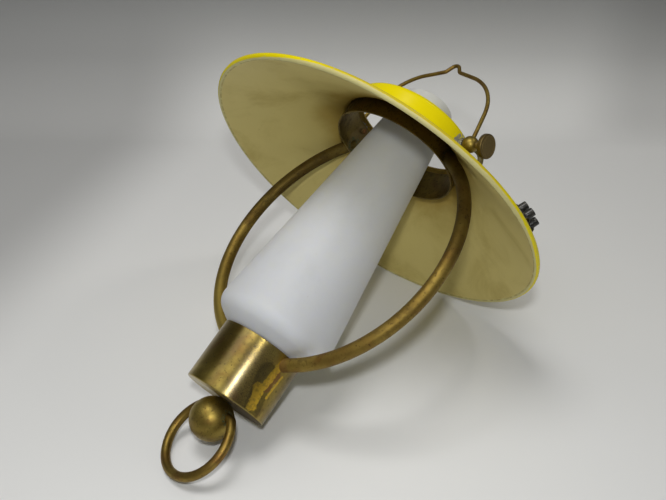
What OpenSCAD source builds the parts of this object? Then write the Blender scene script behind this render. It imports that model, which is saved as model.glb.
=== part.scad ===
// Pendant light on a wire bail: a brass frame of two bent tubes between a top band and a cup,
// a loose tapered opal glass standing in the cup, a spun shade clamped to the band by two thumb
// screws, and a pull ball with a ring under the cup. Millimetres, +Z up, origin where the hook
// bears under the crest of the bail, X along the bail's hinge.

/* [Shade] */
// Diameter over the rolled rim
shade_d = 270; // [255:1:285]
// Drop from the hinge to where the brim's line meets the collar
brim_drop = 8.1; // [7.6:0.1:10]
// Slope of the brim in degrees
brim_slope = 29.7; // [27:0.1:33]
// Thickness of the spun sheet
shade_t = 1.0; // [0.7:0.1:1.4]
// Diameter of the rolled rim
rim_bead_d = 4.4; // [3.6:0.2:6]
// Radius of the fillet between brim and collar
brim_fillet_r = 6; // [4:0.5:10]
// Radius of the collar's rounded top corner
collar_corner_r = 3.2; // [2:0.2:4.5]
// Width of the lip that turns in over the band
lip_w = 0.6; // [0.4:0.2:3]

/* [Frame] */
// Outside diameter of the top band
band_d = 98.5; // [92:0.5:104]
// Wall of the top band
band_t = 1.5; // [1:0.1:2]
// Height of the tubes' axis above the band's lower edge, at its wall
band_foot = 5.7; // [5.5:0.1:6.7]
// Height of the band
band_h = 25.2; // [23:0.2:28]
// Diameter of the circle that both side tubes follow
ring_d = 200; // [199:0.2:201]
// Depth of the tubes' axis below the mouth of the cup, at its wall
tube_entry = 5.3; // [5.2:0.1:5.6]
// Outside diameter of a side tube
tube_d = 9.5; // [8.5:0.1:9.6]
// Bore of a side tube
tube_bore_d = 7; // [6:0.1:7.6]

/* [Cup] */
// Outside diameter of the cup
cup_d = 60; // [58:0.5:62]
// Height of the cup
cup_h = 44; // [40:0.5:50]
// Wall and bottom of the cup
cup_t = 1.4; // [1:0.1:1.8]

/* [Glass] */
// Widest diameter of the glass, at its shoulder
glass_d = 86; // [80:0.5:88]
// Diameter of the glass at its open top
glass_top_d = 40.8; // [38:0.2:44]
// Height of the open top above the mouth of the cup
glass_top_h = 222.5; // [216:0.5:226]
// Thickness of the glass
glass_t = 2.6; // [2.2:0.1:3]
// Diameter of the neck that hangs in the cup
neck_d = 49.4; // [48.6:0.2:51]
// Depth of the neck below the mouth of the cup
neck_depth = 12; // [8:0.5:14]
// Slope of the glass's underside, from the neck to the shoulder
flare_slope = 33; // [28:1:38]
// Radius of the shoulder
shoulder_r = 10.5; // [8:0.5:12]

/* [Bail] */
// Diameter of the bail wire
bail_wire_d = 3; // [2.5:0.1:3.5]
// Rise of the bail's crest above its hinge
bail_rise = 74.7; // [70:0.5:80]
// Height of the hinge below the band's upper edge
hinge_drop = 4.6; // [4:0.2:6]
// Lean of the bail's legs in degrees
leg_lean = 9.8; // [7:0.2:12]
// Bend radius of the bail's shoulders
bail_bend_r = 45; // [40:1:48]
// Slope of the bail's top runs in degrees
top_pitch = 17; // [14:1:22]
// Slope of the hook kink's flanks in degrees
kink_pitch = 56; // [45:1:65]
// Bend radius in the hook kink
kink_r = 4; // [3:0.2:5]
// Straight length of each flank of the kink
kink_run = 4.6; // [3:0.2:6]
// Diameter of the balls at the bail's ends
bail_ball_d = 12; // [10:0.2:13]

/* [Thumb screws] */
// Diameter of the screw's shank
shank_d = 4; // [3.6:0.1:5]
// Diameter of the screw's turned head
head_d = 17.5; // [14:0.5:20]
// Thickness of the head
head_t = 3.6; // [2.4:0.2:5]
// Diameter of the screw's neck
screw_neck_d = 5.6; // [5:0.2:7]
// Length of the screw's neck
screw_neck_l = 6; // [3:0.2:8]
// Thickness of the lock nut between shade and ball
nut_t = 3.2; // [2.6:0.1:4]
// Width across the flats of the lock nut
nut_af = 7; // [6.6:0.1:8]

/* [Pull] */
// Diameter of the pull ball
pull_ball_d = 30; // [27:0.5:33]
// Diameter of the pull ring's centre line
pull_ring_d = 53; // [48:0.5:58]
// Diameter of the pull ring's wire
pull_wire_d = 6.4; // [5:0.1:7]
// Height of the ring's pins above the ball's centre
pull_pin_rise = 5.4; // [5:0.1:6]
// Diameter of the stud through the bottom of the cup
stud_d = 6; // [5:0.1:7]

/* [Lampholder] */
// Diameter of the porcelain body
holder_d = 40; // [38:0.2:41]
// Height of the porcelain body
holder_h = 43; // [38:0.5:46]
// Height of the porcelain's lower face above the cup's floor
holder_stand = 11; // [10:0.5:12]
// Bore of the threaded sleeve that takes the bulb
socket_d = 26.4; // [26:0.1:27]
// Length of the threaded sleeve
socket_l = 24; // [20:0.5:26]

/* [Lead] */
// Diameter of the two-core lead
lead_d = 4.6; // [4:0.1:5]
// Diameter of one insulated core
core_d = 2; // [1.6:0.1:2.1]
// Distance between the two poles of the terminal block
pole_pitch = 9.6; // [8:0.1:11]
// Diameter of one barrel of the terminal block
barrel_d = 7.4; // [7:0.1:7.8]
// Length of the terminal block along its wires
block_l = 14.6; // [13.6:0.2:16]
// Bore of the brass inserts
insert_bore_d = 3.2; // [2.6:0.1:3.6]

/* [Hidden] */
$fn = 64;
// Gap between parts that only rest near each other
seat_gap = 0.3;
// Radial clearance of a turning fit
run_fit = 0.05;
// Step in radius and length of lap where one stretch of a bent wire runs into the next
lap_step = 0.02;
lap_l = 0.3;

// Heights in the lamp's own frame, where 0 is the mouth of the cup
ring_r = ring_d/2;
band_r = band_d/2;
cup_r = cup_d/2;
cup_floor_h = cup_t - cup_h;
ring_h = sqrt(ring_r^2 - cup_r^2) - tube_entry;
band_low_h = ring_h + sqrt(ring_r^2 - band_r^2) - band_foot;
band_top_h = band_low_h + band_h;
hinge_h = band_top_h - hinge_drop;
// Place of the lamp's frame below the hook
hinge_z = bail_wire_d/2 - bail_rise;
lamp_z = hinge_z - hinge_h;

// Shade: collar radii, then the brim line through the rim
collar_in_r = band_r + seat_gap/3;
collar_mid_r = collar_in_r + shade_t/2;
collar_out_r = collar_in_r + shade_t;
collar_top_h = band_top_h + collar_corner_r;
curl_r = (rim_bead_d - shade_t)/2;
curl_turn = 290;
brim_end_r = shade_d/2 - rim_bead_d/2 - curl_r*sin(brim_slope);
brim_end_h = hinge_h - brim_drop - (brim_end_r - collar_mid_r)*tan(brim_slope);
shade_rim_h = brim_end_h + curl_r*cos(brim_slope);
fillet_turn = 90 - brim_slope;
fillet_x = collar_mid_r + brim_fillet_r;
fillet_end_r = fillet_x - brim_fillet_r*sin(brim_slope);
fillet_h = brim_end_h + (brim_end_r - fillet_end_r)*tan(brim_slope) + brim_fillet_r*cos(brim_slope);

// Thumb screw stations along X, from the collar outward
nut_x = collar_out_r + run_fit;
ball_half = bail_ball_d/2 - 0.4;
bail_ball_x = nut_x + nut_t + seat_gap + ball_half;
screw_neck_x = bail_ball_x + ball_half + seat_gap;
head_x = screw_neck_x + screw_neck_l;
shank_end_x = band_r - band_t - 2.6;

// Bail: centre of the shoulder bend, from the leg line and the top run
crest_h = bail_rise;
flank_a = [kink_r*sin(kink_pitch), crest_h - kink_r*(1 - cos(kink_pitch))];
flank_b = flank_a + kink_run*[cos(kink_pitch), -sin(kink_pitch)];
foot_c = flank_b + kink_r*[sin(kink_pitch), cos(kink_pitch)];
top_a = foot_c - kink_r*[sin(top_pitch), cos(top_pitch)];
leg_k = bail_ball_x*cos(leg_lean) - bail_bend_r;
top_k = top_a[0]*sin(top_pitch) + top_a[1]*cos(top_pitch) - bail_bend_r;
bend_x = (leg_k*cos(top_pitch) - top_k*sin(leg_lean))/cos(leg_lean + top_pitch);
bend_h = (top_k*cos(leg_lean) - leg_k*sin(top_pitch))/cos(leg_lean + top_pitch);
top_b = [bend_x + bail_bend_r*sin(top_pitch), bend_h + bail_bend_r*cos(top_pitch)];
leg_b = [bend_x + bail_bend_r*cos(leg_lean), bend_h + bail_bend_r*sin(leg_lean)];
leg_root = 3.4;
leg_a = [bail_ball_x - leg_root*sin(leg_lean), leg_root*cos(leg_lean)];

// Glass: neck fillet, flare and shoulder in the order they meet
neck_r = neck_d/2 - glass_t/2;
neck_fillet_r = 5;
flare_clear = (seat_gap + glass_t/2)/cos(flare_slope);
flare_k = flare_clear - (cup_r - cup_t)*tan(flare_slope);
neck_fillet_h = (neck_r + neck_fillet_r)*tan(flare_slope) + flare_k - neck_fillet_r/cos(flare_slope);
shoulder_x = glass_d/2 - glass_t/2 - shoulder_r;
shoulder_h = shoulder_x*tan(flare_slope) + flare_k + shoulder_r/cos(flare_slope);
taper = atan((glass_d/2 - glass_top_d/2)/(glass_top_h - shoulder_h));

// Pull ring: a circle bent inward at its ends, onto the two pins
pull_ball_seat = 14.2/15*pull_ball_d/2;
pull_ball_h = -cup_h - seat_gap - pull_ball_seat;
pull_pin_h = pull_ball_h + pull_pin_rise;
pull_r = pull_ring_d/2;
pull_bend_r = 4;
pull_open = 48;
pull_ring_h = pull_pin_h - pull_bend_r - (pull_r - pull_bend_r)*sin(pull_open);
pull_pin_x = (pull_r - pull_bend_r)*cos(pull_open);
pin_end_x = pull_ball_d*0.2;

// Stud, nut and lampholder stack on the cup's floor
stud_end_h = pull_ball_h - 2;
stud_nut_t = 5;
stud_nut_af = 10;
bracket_t = 1.2;
bracket_w = 11;
bracket_top_h = -neck_depth - 3;
holder_low_h = cup_floor_h + holder_stand;
holder_top_h = holder_low_h + holder_h;
sleeve_t = 0.8;
sleeve_r = socket_d/2 + sleeve_t;
sleeve_low_h = holder_top_h - 2 - socket_l;
contact_low_h = sleeve_low_h - 6;
bracket_screw_h = holder_low_h + 8;
bracket_screw_d = 3;
holder_terminal_y = 9;
holder_terminal_d = 6;

// Lead: the arc that it follows inside the right tube
tube_low_a = -acos((cup_r - cup_t)/ring_r);
tube_high_a = acos((band_r - band_t)/ring_r);
mouth_x = ring_r*cos(tube_high_a);
mouth_h = ring_h + ring_r*sin(tube_high_a);
mouth_in = [-sin(tube_high_a), cos(tube_high_a)];
low_x = ring_r*cos(tube_low_a);
low_h = ring_h + ring_r*sin(tube_low_a);

// Terminal block: its place on the brim, wires running down the slope
block_a = 6.6;
block_r = 121.4;
tower_h = 4.4;
block_sit = shade_t/2 + seat_gap + barrel_d/2;
block_h = brim_end_h + (brim_end_r - block_r)*tan(brim_slope) + block_sit/cos(brim_slope);
core_fan = 9;
lead_end_u = -block_l/2 - core_fan;

// Route of the free lead in the lamp's own frame, chosen by hand: up past the glass, over the
// lip and down onto the brim
lead_route = [[42, 1, 180.5], [38, 6, 188], [36.5, 14, 198], [37.5, 22, 206], [41, 28, 209],
    [44.5, 32, 206], [46.2, 34.1, 198], [48, 35.2, 189.3], [54, 35.6, 180.6], [65, 33.5, 174.2],
    [76, 28, 169.7], [86, 21, 165.4], [94, 15, 161.6]];

// Points of an arc about [cx, cy] from angle a0 to a1 in n steps
function arc(cx, cy, r, a0, a1, n) =
    [for (i = [0:n]) [cx + r*cos(a0 + (a1 - a0)*i/n), cy + r*sin(a0 + (a1 - a0)*i/n)]];
// Unit vector and sheet normal along a path of 2D points
function unit(v) = v/norm(v);
function left_of(v) = [-v[1], v[0]];
function path_dir(p, i) = unit(p[min(i + 1, len(p) - 1)] - p[max(i - 1, 0)]);
// Outline of a sheet of thickness t along a path
function sheet(p, t) = concat(
    [for (i = [0:len(p) - 1]) p[i] + left_of(path_dir(p, i))*t/2],
    [for (i = [len(p) - 1:-1:0]) p[i] - left_of(path_dir(p, i))*t/2]);

// Point on the +X side at a given distance from the lamp's axis
function at_radius(r, y, h) = [sqrt(r*r - y*y), y, h];

// Cubic through b and c, with slopes from a and d, for a smooth tube through a route
function spline(a, b, c, d, t) = 0.5*((2*b) + (c - a)*t + (2*a - 5*b + 4*c - d)*t*t
    + (3*b - a - 3*c + d)*t*t*t);
function route_at(p, i, t) = spline(p[max(i - 1, 0)], p[i], p[i + 1], p[min(i + 2, len(p) - 1)], t);
function smooth(p, n) = concat(
    [for (i = [0:len(p) - 2]) for (j = [0:n - 1]) route_at(p, i, j/n)], [p[len(p) - 1]]);
// One ring of the swept tube, square to the path, with its first corner kept level
function ring_at(c, d, r, n) = let (s = unit(cross(d, [0, 0, 1])), u = cross(s, d))
    [for (k = [0:n - 1]) c + r*(cos(360*k/n)*s + sin(360*k/n)*u)];

module lamp() {
    translate([0, 0, lamp_z]) children();
}

module left_side() {
    mirror([1, 0, 0]) children();
}

// Torus segment in the XZ plane about [cx, cz]
module bent_wire(cx, cz, bend_r, a0, a1, d) {
    translate([cx, 0, cz]) rotate([90, 0, 0]) rotate([0, 0, a0])
        rotate_extrude(angle = a1 - a0, $fn = 96) translate([bend_r, 0]) circle(d = d, $fn = 32);
}

// Straight wire in the XZ plane between two points, lapped into a bend at the ends that ask for it
module straight_wire(p, q, d, lap_p = 0, lap_q = 0) {
    run = q - p;
    translate([p[0], 0, p[1]]) rotate([0, atan2(run[0], run[1]), 0])
        translate([0, 0, -lap_p]) cylinder(d = d, h = norm(run) + lap_p + lap_q, $fn = 32);
}

// Tube swept along a route of 3D points, with given end directions
module swept_tube(route, d, sides, start_dir, end_dir) {
    last = len(route) - 1;
    rings = [for (i = [0:last]) ring_at(route[i], i == 0 ? start_dir : i == last ? end_dir
        : unit(route[i + 1] - route[i - 1]), d/2, sides)];
    points = [for (ring = rings) for (p = ring) p];
    walls = [for (i = [0:last - 1]) for (k = [0:sides - 1]) for (tri = [0, 1])
        let (a = i*sides + k, b = i*sides + (k + 1)%sides)
        tri == 0 ? [a, b, b + sides] : [a, b + sides, a + sides]];
    polyhedron(points, concat([[for (k = [sides - 1:-1:0]) k]],
        walls, [[for (k = [0:sides - 1]) last*sides + k]]));
}

// One side of the bail: flank, foot, top run, shoulder and leg, each run lapped into its bends
module bail_half() {
    run_d = bail_wire_d - 2*lap_step;
    straight_wire(flank_a, flank_b, run_d, lap_l, lap_l);
    bent_wire(foot_c[0], foot_c[1], kink_r, 270 - kink_pitch, 270 - top_pitch, bail_wire_d);
    straight_wire(top_a, top_b, run_d, lap_l, lap_l);
    bent_wire(bend_x, bend_h, bail_bend_r, leg_lean, 90 - top_pitch, bail_wire_d);
    straight_wire(leg_a, leg_b, run_d, 0, lap_l);
}

module bail() {
    color([0.45, 0.33, 0.16]) translate([0, 0, hinge_z]) {
        bent_wire(0, crest_h - kink_r, kink_r, 90 - kink_pitch, 90 + kink_pitch, bail_wire_d);
        bail_half();
        left_side() bail_half();
    }
}

// Ball on the end of the bail, bored for the screw's shank, flat where it meets nut and neck
module bail_ball() {
    color([0.62, 0.45, 0.18]) translate([bail_ball_x, 0, hinge_z]) difference() {
        intersection() {
            sphere(d = bail_ball_d);
            rotate([0, 90, 0]) cylinder(d = bail_ball_d + 2, h = 2*ball_half, center = true);
        }
        rotate([0, 90, 0]) cylinder(d = shank_d + 2*run_fit, h = bail_ball_d + 2, center = true);
        rotate([0, -leg_lean, 0]) translate([0, 0, leg_root])
            cylinder(d = bail_wire_d, h = bail_ball_d, $fn = 32);
    }
}

module bail_ball_left() {
    left_side() bail_ball();
}

module bail_ball_right() {
    bail_ball();
}

// Turned head with a rounded edge and two grooves on its face, neck, and shank to inside the band
module thumb_screw() {
    head_r = head_d/2;
    edge = 0.8;
    groove_w = 0.5;
    groove_depth = 0.3;
    color([0.40, 0.34, 0.25]) translate([0, 0, hinge_z]) rotate([0, 90, 0]) rotate_extrude(angle = 360)
        difference() {
            polygon(concat(
                [[0, shank_end_x], [shank_d/2 - 0.4, shank_end_x], [shank_d/2, shank_end_x + 0.4]],
                [[shank_d/2, screw_neck_x], [screw_neck_d/2, screw_neck_x], [screw_neck_d/2, head_x]],
                arc(head_r - edge, head_x + edge, edge, -90, 0, 4),
                arc(head_r - edge, head_x + head_t - edge, edge, 0, 90, 4),
                [[0, head_x + head_t]]));
            for (r = [head_r*0.45, head_r*0.75])
                translate([r, head_x + head_t - groove_depth]) square([groove_w, groove_depth + 1]);
        }
}

module thumb_screw_left() {
    left_side() thumb_screw();
}

module thumb_screw_right() {
    thumb_screw();
}

module lock_nut() {
    color([0.62, 0.63, 0.62]) translate([nut_x, 0, hinge_z]) rotate([0, 90, 0]) difference() {
        cylinder(d = nut_af/cos(30), h = nut_t, $fn = 6);
        translate([0, 0, -1]) cylinder(d = shank_d + 2*run_fit, h = nut_t + 2);
    }
}

module lock_nut_left() {
    left_side() lock_nut();
}

module lock_nut_right() {
    lock_nut();
}

// Sheet line of the shade: lip, rounded corner, collar, fillet, brim and the curl of its rim
function shade_path() = concat(
    [[collar_mid_r - collar_corner_r - lip_w, collar_top_h]],
    arc(collar_mid_r - collar_corner_r, collar_top_h - collar_corner_r, collar_corner_r, 90, 0, 6),
    arc(fillet_x, fillet_h, brim_fillet_r, 180, 180 + fillet_turn, 8),
    arc(shade_d/2 - rim_bead_d/2, shade_rim_h, curl_r, -90 - brim_slope,
        curl_turn - 90 - brim_slope, 14));

module shade() {
    color([0.90, 0.80, 0.05]) lamp() difference() {
        rotate_extrude(angle = 360, $fn = 128) polygon(sheet(shade_path(), shade_t));
        translate([0, 0, hinge_h]) rotate([0, 90, 0])
            cylinder(d = shank_d + 2*seat_gap, h = 2*collar_out_r + 2, center = true);
    }
}

module band() {
    color([0.42, 0.32, 0.15]) lamp() difference() {
        translate([0, 0, band_low_h]) cylinder(r = band_r, h = band_h, $fn = 128);
        translate([0, 0, band_low_h - 1]) cylinder(r = band_r - band_t, h = band_h + 2, $fn = 128);
        translate([0, 0, hinge_h]) rotate([0, 90, 0])
            cylinder(d = shank_d + 2*run_fit, h = band_d + 2, center = true);
        for (side = [0, 1]) mirror([side, 0, 0])
            bent_wire(0, ring_h, ring_r, tube_high_a - 4, tube_high_a + 4, tube_bore_d);
    }
}

// Bent tube from inside the cup's wall up to the outside of the band
module side_tube() {
    color([0.45, 0.33, 0.15]) lamp() difference() {
        bent_wire(0, ring_h, ring_r, tube_low_a - 4, tube_high_a + 4, tube_d);
        bent_wire(0, ring_h, ring_r, tube_low_a - 6, tube_high_a + 6, tube_bore_d);
        translate([0, 0, ring_h]) cylinder(r = band_r, h = 2*ring_r, $fn = 128);
        translate([0, 0, ring_h - 2*ring_r]) cylinder(r = cup_r - cup_t, h = 2*ring_r, $fn = 128);
    }
}

module tube_left() {
    left_side() side_tube();
}

module tube_right() {
    side_tube();
}

module cup() {
    corner = 1;
    color([0.55, 0.43, 0.18]) lamp() difference() {
        rotate_extrude(angle = 360, $fn = 96) polygon(concat(
            [[stud_d/2 + run_fit, cup_floor_h], [stud_d/2 + run_fit, -cup_h]],
            arc(cup_r - corner, corner - cup_h, corner, -90, 0, 4),
            [[cup_r, 0], [cup_r - cup_t, 0], [cup_r - cup_t, cup_floor_h]]));
        for (side = [0, 1]) mirror([side, 0, 0])
            bent_wire(0, ring_h, ring_r, tube_low_a - 6, tube_low_a + 6, tube_d);
    }
}

// Sheet line of the glass: neck, fillet, flare, shoulder and taper to the open top
function glass_path() = concat(
    [[neck_r, -neck_depth]],
    arc(neck_r + neck_fillet_r, neck_fillet_h, neck_fillet_r, 180, 90 + flare_slope, 6),
    arc(shoulder_x, shoulder_h, shoulder_r, flare_slope - 90, taper, 12),
    [[glass_top_d/2 - glass_t/2, glass_top_h]]);

module glass() {
    color([0.93, 0.94, 0.92]) lamp()
        rotate_extrude(angle = 360, $fn = 128) polygon(sheet(glass_path(), glass_t));
}

// Porcelain body: bored for the sleeve, with two terminal wells from below
module lampholder_body() {
    chamfer = 1.5;
    color([0.93, 0.92, 0.88]) lamp() difference() {
        rotate_extrude(angle = 360, $fn = 96) polygon([[0, holder_low_h],
            [holder_d/2 - chamfer, holder_low_h], [holder_d/2, holder_low_h + chamfer],
            [holder_d/2, holder_top_h - chamfer], [holder_d/2 - chamfer, holder_top_h],
            [0, holder_top_h]]);
        translate([0, 0, sleeve_low_h]) cylinder(r = sleeve_r, h = socket_l + 3);
        translate([0, 0, contact_low_h]) cylinder(r = 9, h = 7);
        for (s = [-1, 1]) {
            translate([0, s*holder_terminal_y, holder_low_h - 1])
                cylinder(d = holder_terminal_d + 2, h = 7, $fn = 32);
            translate([s*(holder_d/2 - 6), 0, bracket_screw_h]) rotate([0, s*90, 0])
                cylinder(d = bracket_screw_d, h = 8, $fn = 32);
        }
        for (s = [-1, 1]) mirror([s < 0 ? 1 : 0, 0, 0])
            translate([holder_d/2 - bracket_t - 0.2, -bracket_w/2 - 0.2, holder_low_h - 1])
                cube([4, bracket_w + 0.4, bracket_top_h - holder_low_h + 1.2]);
    }
}

module lampholder_sleeve() {
    color([0.72, 0.56, 0.24]) lamp() translate([0, 0, sleeve_low_h]) difference() {
        cylinder(r = sleeve_r - run_fit, h = socket_l);
        translate([0, 0, -1]) cylinder(d = socket_d, h = socket_l + 2);
    }
}

// Sprung centre contact: a strip that rises from its rivet to meet the bulb
module lampholder_contact() {
    strip_w = 7;
    strip_t = 0.5;
    rise = 5;
    color([0.75, 0.58, 0.26]) lamp() translate([0, strip_w/2, contact_low_h + seat_gap]) rotate([90, 0, 0])
        linear_extrude(strip_w) polygon([[-7, 0], [-1, 0], [6, rise], [7, rise], [7, rise + strip_t],
            [5.8, rise + strip_t], [-1.2, strip_t], [-7, strip_t]]);
}

// Folded strip: foot under the stud's nut, one leg up each side of the porcelain
module lampholder_bracket() {
    leg_x = holder_d/2 - bracket_t;
    leg_h = bracket_top_h - cup_floor_h;
    color([0.60, 0.60, 0.58]) lamp() translate([0, 0, cup_floor_h]) difference() {
        union() {
            translate([-leg_x - bracket_t, -bracket_w/2, 0])
                cube([2*leg_x + 2*bracket_t, bracket_w, bracket_t]);
            for (s = [0, 1]) mirror([s, 0, 0]) translate([leg_x, -bracket_w/2, 0])
                cube([bracket_t, bracket_w, leg_h]);
        }
        translate([0, 0, -1]) cylinder(d = stud_d + 2*run_fit, h = bracket_t + 2);
        translate([0, 0, bracket_screw_h - cup_floor_h]) rotate([0, 90, 0])
            cylinder(d = bracket_screw_d + 2*run_fit, h = holder_d + 4, center = true, $fn = 32);
    }
}

// Two screws that hold the porcelain between the bracket's legs
module bracket_screws() {
    screw_head_d = 5.6;
    screw_head_t = 1.8;
    color([0.70, 0.70, 0.68]) lamp() for (s = [0, 1]) mirror([s, 0, 0])
        translate([holder_d/2 - 5, 0, bracket_screw_h]) rotate([0, 90, 0]) {
            cylinder(d = bracket_screw_d - 2*run_fit, h = 5 + screw_head_t, $fn = 32);
            translate([0, 0, 5]) cylinder(d = screw_head_d, h = screw_head_t, $fn = 32);
        }
}

// Two brass posts in the porcelain's wells, each cross-drilled for its core
module holder_terminals() {
    color([0.72, 0.56, 0.24]) lamp() for (s = [-1, 1])
        translate([0, s*holder_terminal_y, holder_low_h - 3]) difference() {
            cylinder(d = holder_terminal_d, h = 9, $fn = 32);
            translate([0, 0, 1.6]) rotate([0, 90, 0])
                cylinder(d = core_d + 2*run_fit, h = 10, center = true, $fn = 24);
        }
}

module stud() {
    color([0.65, 0.50, 0.22]) lamp() translate([0, 0, stud_end_h])
        cylinder(d = stud_d, h = cup_floor_h + bracket_t + stud_nut_t + 1.5 - stud_end_h);
}

module stud_nut() {
    color([0.65, 0.50, 0.22]) lamp() translate([0, 0, cup_floor_h + bracket_t]) difference() {
        cylinder(d = stud_nut_af/cos(30), h = stud_nut_t, $fn = 6);
        translate([0, 0, -1]) cylinder(d = stud_d + 2*run_fit, h = stud_nut_t + 2);
    }
}

// Ball with a flat seat against the cup, a blind bore for the stud and one pin hole each side
module pull_ball() {
    color([0.55, 0.42, 0.16]) lamp() translate([0, 0, pull_ball_h]) difference() {
        sphere(d = pull_ball_d, $fn = 96);
        translate([0, 0, pull_ball_seat]) cylinder(d = pull_ball_d, h = pull_ball_d);
        translate([0, 0, stud_end_h - pull_ball_h - 0.5])
            cylinder(d = stud_d + 2*run_fit, h = pull_ball_d);
        for (s = [0, 1]) mirror([s, 0, 0]) translate([pin_end_x - 0.5, 0, pull_pin_rise])
            rotate([0, 90, 0]) cylinder(d = pull_wire_d + 2*run_fit, h = pull_ball_d);
    }
}

module pull_ring() {
    lap_a = lap_l/pull_bend_r*180/PI;
    color([0.50, 0.37, 0.15]) lamp() {
        bent_wire(0, pull_ring_h, pull_r, -180 - pull_open, pull_open, pull_wire_d);
        for (s = [0, 1]) mirror([s, 0, 0]) {
            bent_wire(pull_pin_x, pull_pin_h - pull_bend_r, pull_bend_r,
                pull_open - lap_a, 90 + lap_a, pull_wire_d - 2*lap_step);
            straight_wire([pin_end_x, pull_pin_h], [pull_pin_x, pull_pin_h], pull_wire_d);
        }
    }
}

// Lead inside the right tube, from the cup's wall to the mouth in the band
module lead_in_tube() {
    color([0.50, 0.42, 0.22]) lamp()
        bent_wire(0, ring_h, ring_r, tube_low_a, tube_high_a, lead_d);
}

// Two cores from the lead's end in the cup, down to the holder's terminals
module holder_cores() {
    gap_r = (neck_d/2 + cup_r - cup_t)/2;
    post_h = holder_low_h - 1.4;
    post_y = holder_terminal_y;
    turn_r = holder_d/2 + 4.2;
    color([0.50, 0.42, 0.22]) lamp() for (s = [-1, 1]) {
        route = [[low_x, s*1.15, low_h], at_radius(gap_r + 0.2, s*1.4, low_h - 1.8),
            at_radius(gap_r, s*3.5, -neck_depth - 1), at_radius(gap_r - 0.6, s*6.5, -neck_depth - 8),
            at_radius(gap_r - 0.8, s*post_y*0.95, post_h + 6), at_radius(turn_r, s*post_y, post_h + 1),
            [turn_r - 7, s*post_y, post_h], [4, s*post_y, post_h], [-2, s*post_y, post_h]];
        swept_tube(smooth(route, 3), core_d, 8, [sin(tube_low_a), 0, -cos(tube_low_a)], [-1, 0, 0]);
    }
}

module block_place() {
    lamp() rotate([0, 0, block_a]) translate([block_r, 0, block_h]) rotate([0, brim_slope, 0])
        children();
}

// Place of the lead's end behind the block, in the lamp's own frame
function lead_end() = let (u = lead_end_u, x = block_r + u*cos(brim_slope))
    [x*cos(block_a), x*sin(block_a), block_h - u*sin(brim_slope)];
function block_dir() = [cos(brim_slope)*cos(block_a), cos(brim_slope)*sin(block_a), -sin(brim_slope)];

// Free lead from the band's mouth, up past the glass, over the lip and out along the brim
module supply_lead() {
    mouth = [mouth_x, 0, mouth_h];
    route = concat([mouth], lead_route, [lead_end() - 6*block_dir(), lead_end()]);
    color([0.50, 0.42, 0.22]) lamp()
        swept_tube(smooth(route, 3), lead_d, 8, [mouth_in[0], 0, mouth_in[1]], block_dir());
}

// Two cores that fan out from the lead's end into the block's inserts
module lead_cores() {
    color([0.55, 0.40, 0.20]) block_place() for (s = [-1, 1]) {
        start = [lead_end_u, s*(core_d/2 + 0.2), 0];
        stop = [-block_l/2 - 1, s*pole_pitch/2, 0];
        swept_tube(smooth([start, (start + stop)/2, stop, stop + [4, 0, 0]], 3),
            core_d, 8, [1, 0, 0], [1, 0, 0]);
    }
}

// Two-pole block: a barrel and two screw towers to each pole, joined by a web
module terminal_block() {
    web_h = 4;
    tower_d = 5.6;
    tower_bore_d = 4.2;
    insert_d = insert_bore_d + 2;
    color([0.05, 0.05, 0.05]) block_place() difference() {
        union() {
            for (s = [-1, 1]) translate([0, s*pole_pitch/2, 0]) {
                rotate([0, 90, 0]) cylinder(d = barrel_d, h = block_l, center = true, $fn = 32);
                for (e = [-1, 1]) translate([e*block_l/4, 0, 0])
                    cylinder(d = tower_d, h = barrel_d/2 + tower_h, $fn = 32);
            }
            cube([block_l - 4, pole_pitch, web_h], center = true);
        }
        for (s = [-1, 1]) translate([0, s*pole_pitch/2, 0]) {
            rotate([0, 90, 0]) cylinder(d = insert_d, h = block_l + 2, center = true, $fn = 32);
            for (e = [-1, 1]) translate([e*block_l/4, 0, 0])
                cylinder(d = tower_bore_d, h = barrel_d + tower_h, $fn = 32);
        }
    }
}

// Brass tubes inside the block, tapped from above for the screws
module terminal_inserts() {
    insert_d = insert_bore_d + 2 - 2*run_fit;
    color([0.72, 0.56, 0.24]) block_place() for (s = [-1, 1]) translate([0, s*pole_pitch/2, 0])
        difference() {
            rotate([0, 90, 0]) cylinder(d = insert_d, h = block_l - 3, center = true, $fn = 32);
            rotate([0, 90, 0]) cylinder(d = insert_bore_d, h = block_l, center = true, $fn = 32);
            for (e = [-1, 1]) translate([e*block_l/4, 0, 0])
                cylinder(d = 3, h = barrel_d, $fn = 32);
        }
}

module terminal_screws() {
    screw_h = 4.6;
    slot_w = 0.7;
    color([0.60, 0.58, 0.52]) block_place() for (s = [-1, 1]) for (e = [-1, 1])
        translate([e*block_l/4, s*pole_pitch/2, insert_bore_d/2 + 0.05]) difference() {
            union() {
                cylinder(d = 3 - 2*run_fit, h = screw_h, $fn = 32);
                translate([0, 0, 1.6]) cylinder(d = 3.7, h = screw_h - 1.6, $fn = 32);
            }
            translate([-slot_w/2, -3, screw_h - 0.8]) cube([slot_w, 6, 2]);
        }
}

bail();
bail_ball_left();
bail_ball_right();
thumb_screw_left();
thumb_screw_right();
lock_nut_left();
lock_nut_right();
shade();
band();
tube_left();
tube_right();
cup();
glass();
lampholder_body();
lampholder_sleeve();
lampholder_contact();
lampholder_bracket();
bracket_screws();
holder_terminals();
stud();
stud_nut();
pull_ball();
pull_ring();
lead_in_tube();
holder_cores();
supply_lead();
lead_cores();
terminal_block();
terminal_inserts();
terminal_screws();
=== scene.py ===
import bmesh
import bpy
import numpy as np
from math import atan, cos, hypot, pi, radians, sin, tan
from mathutils import Matrix, Vector


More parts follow.
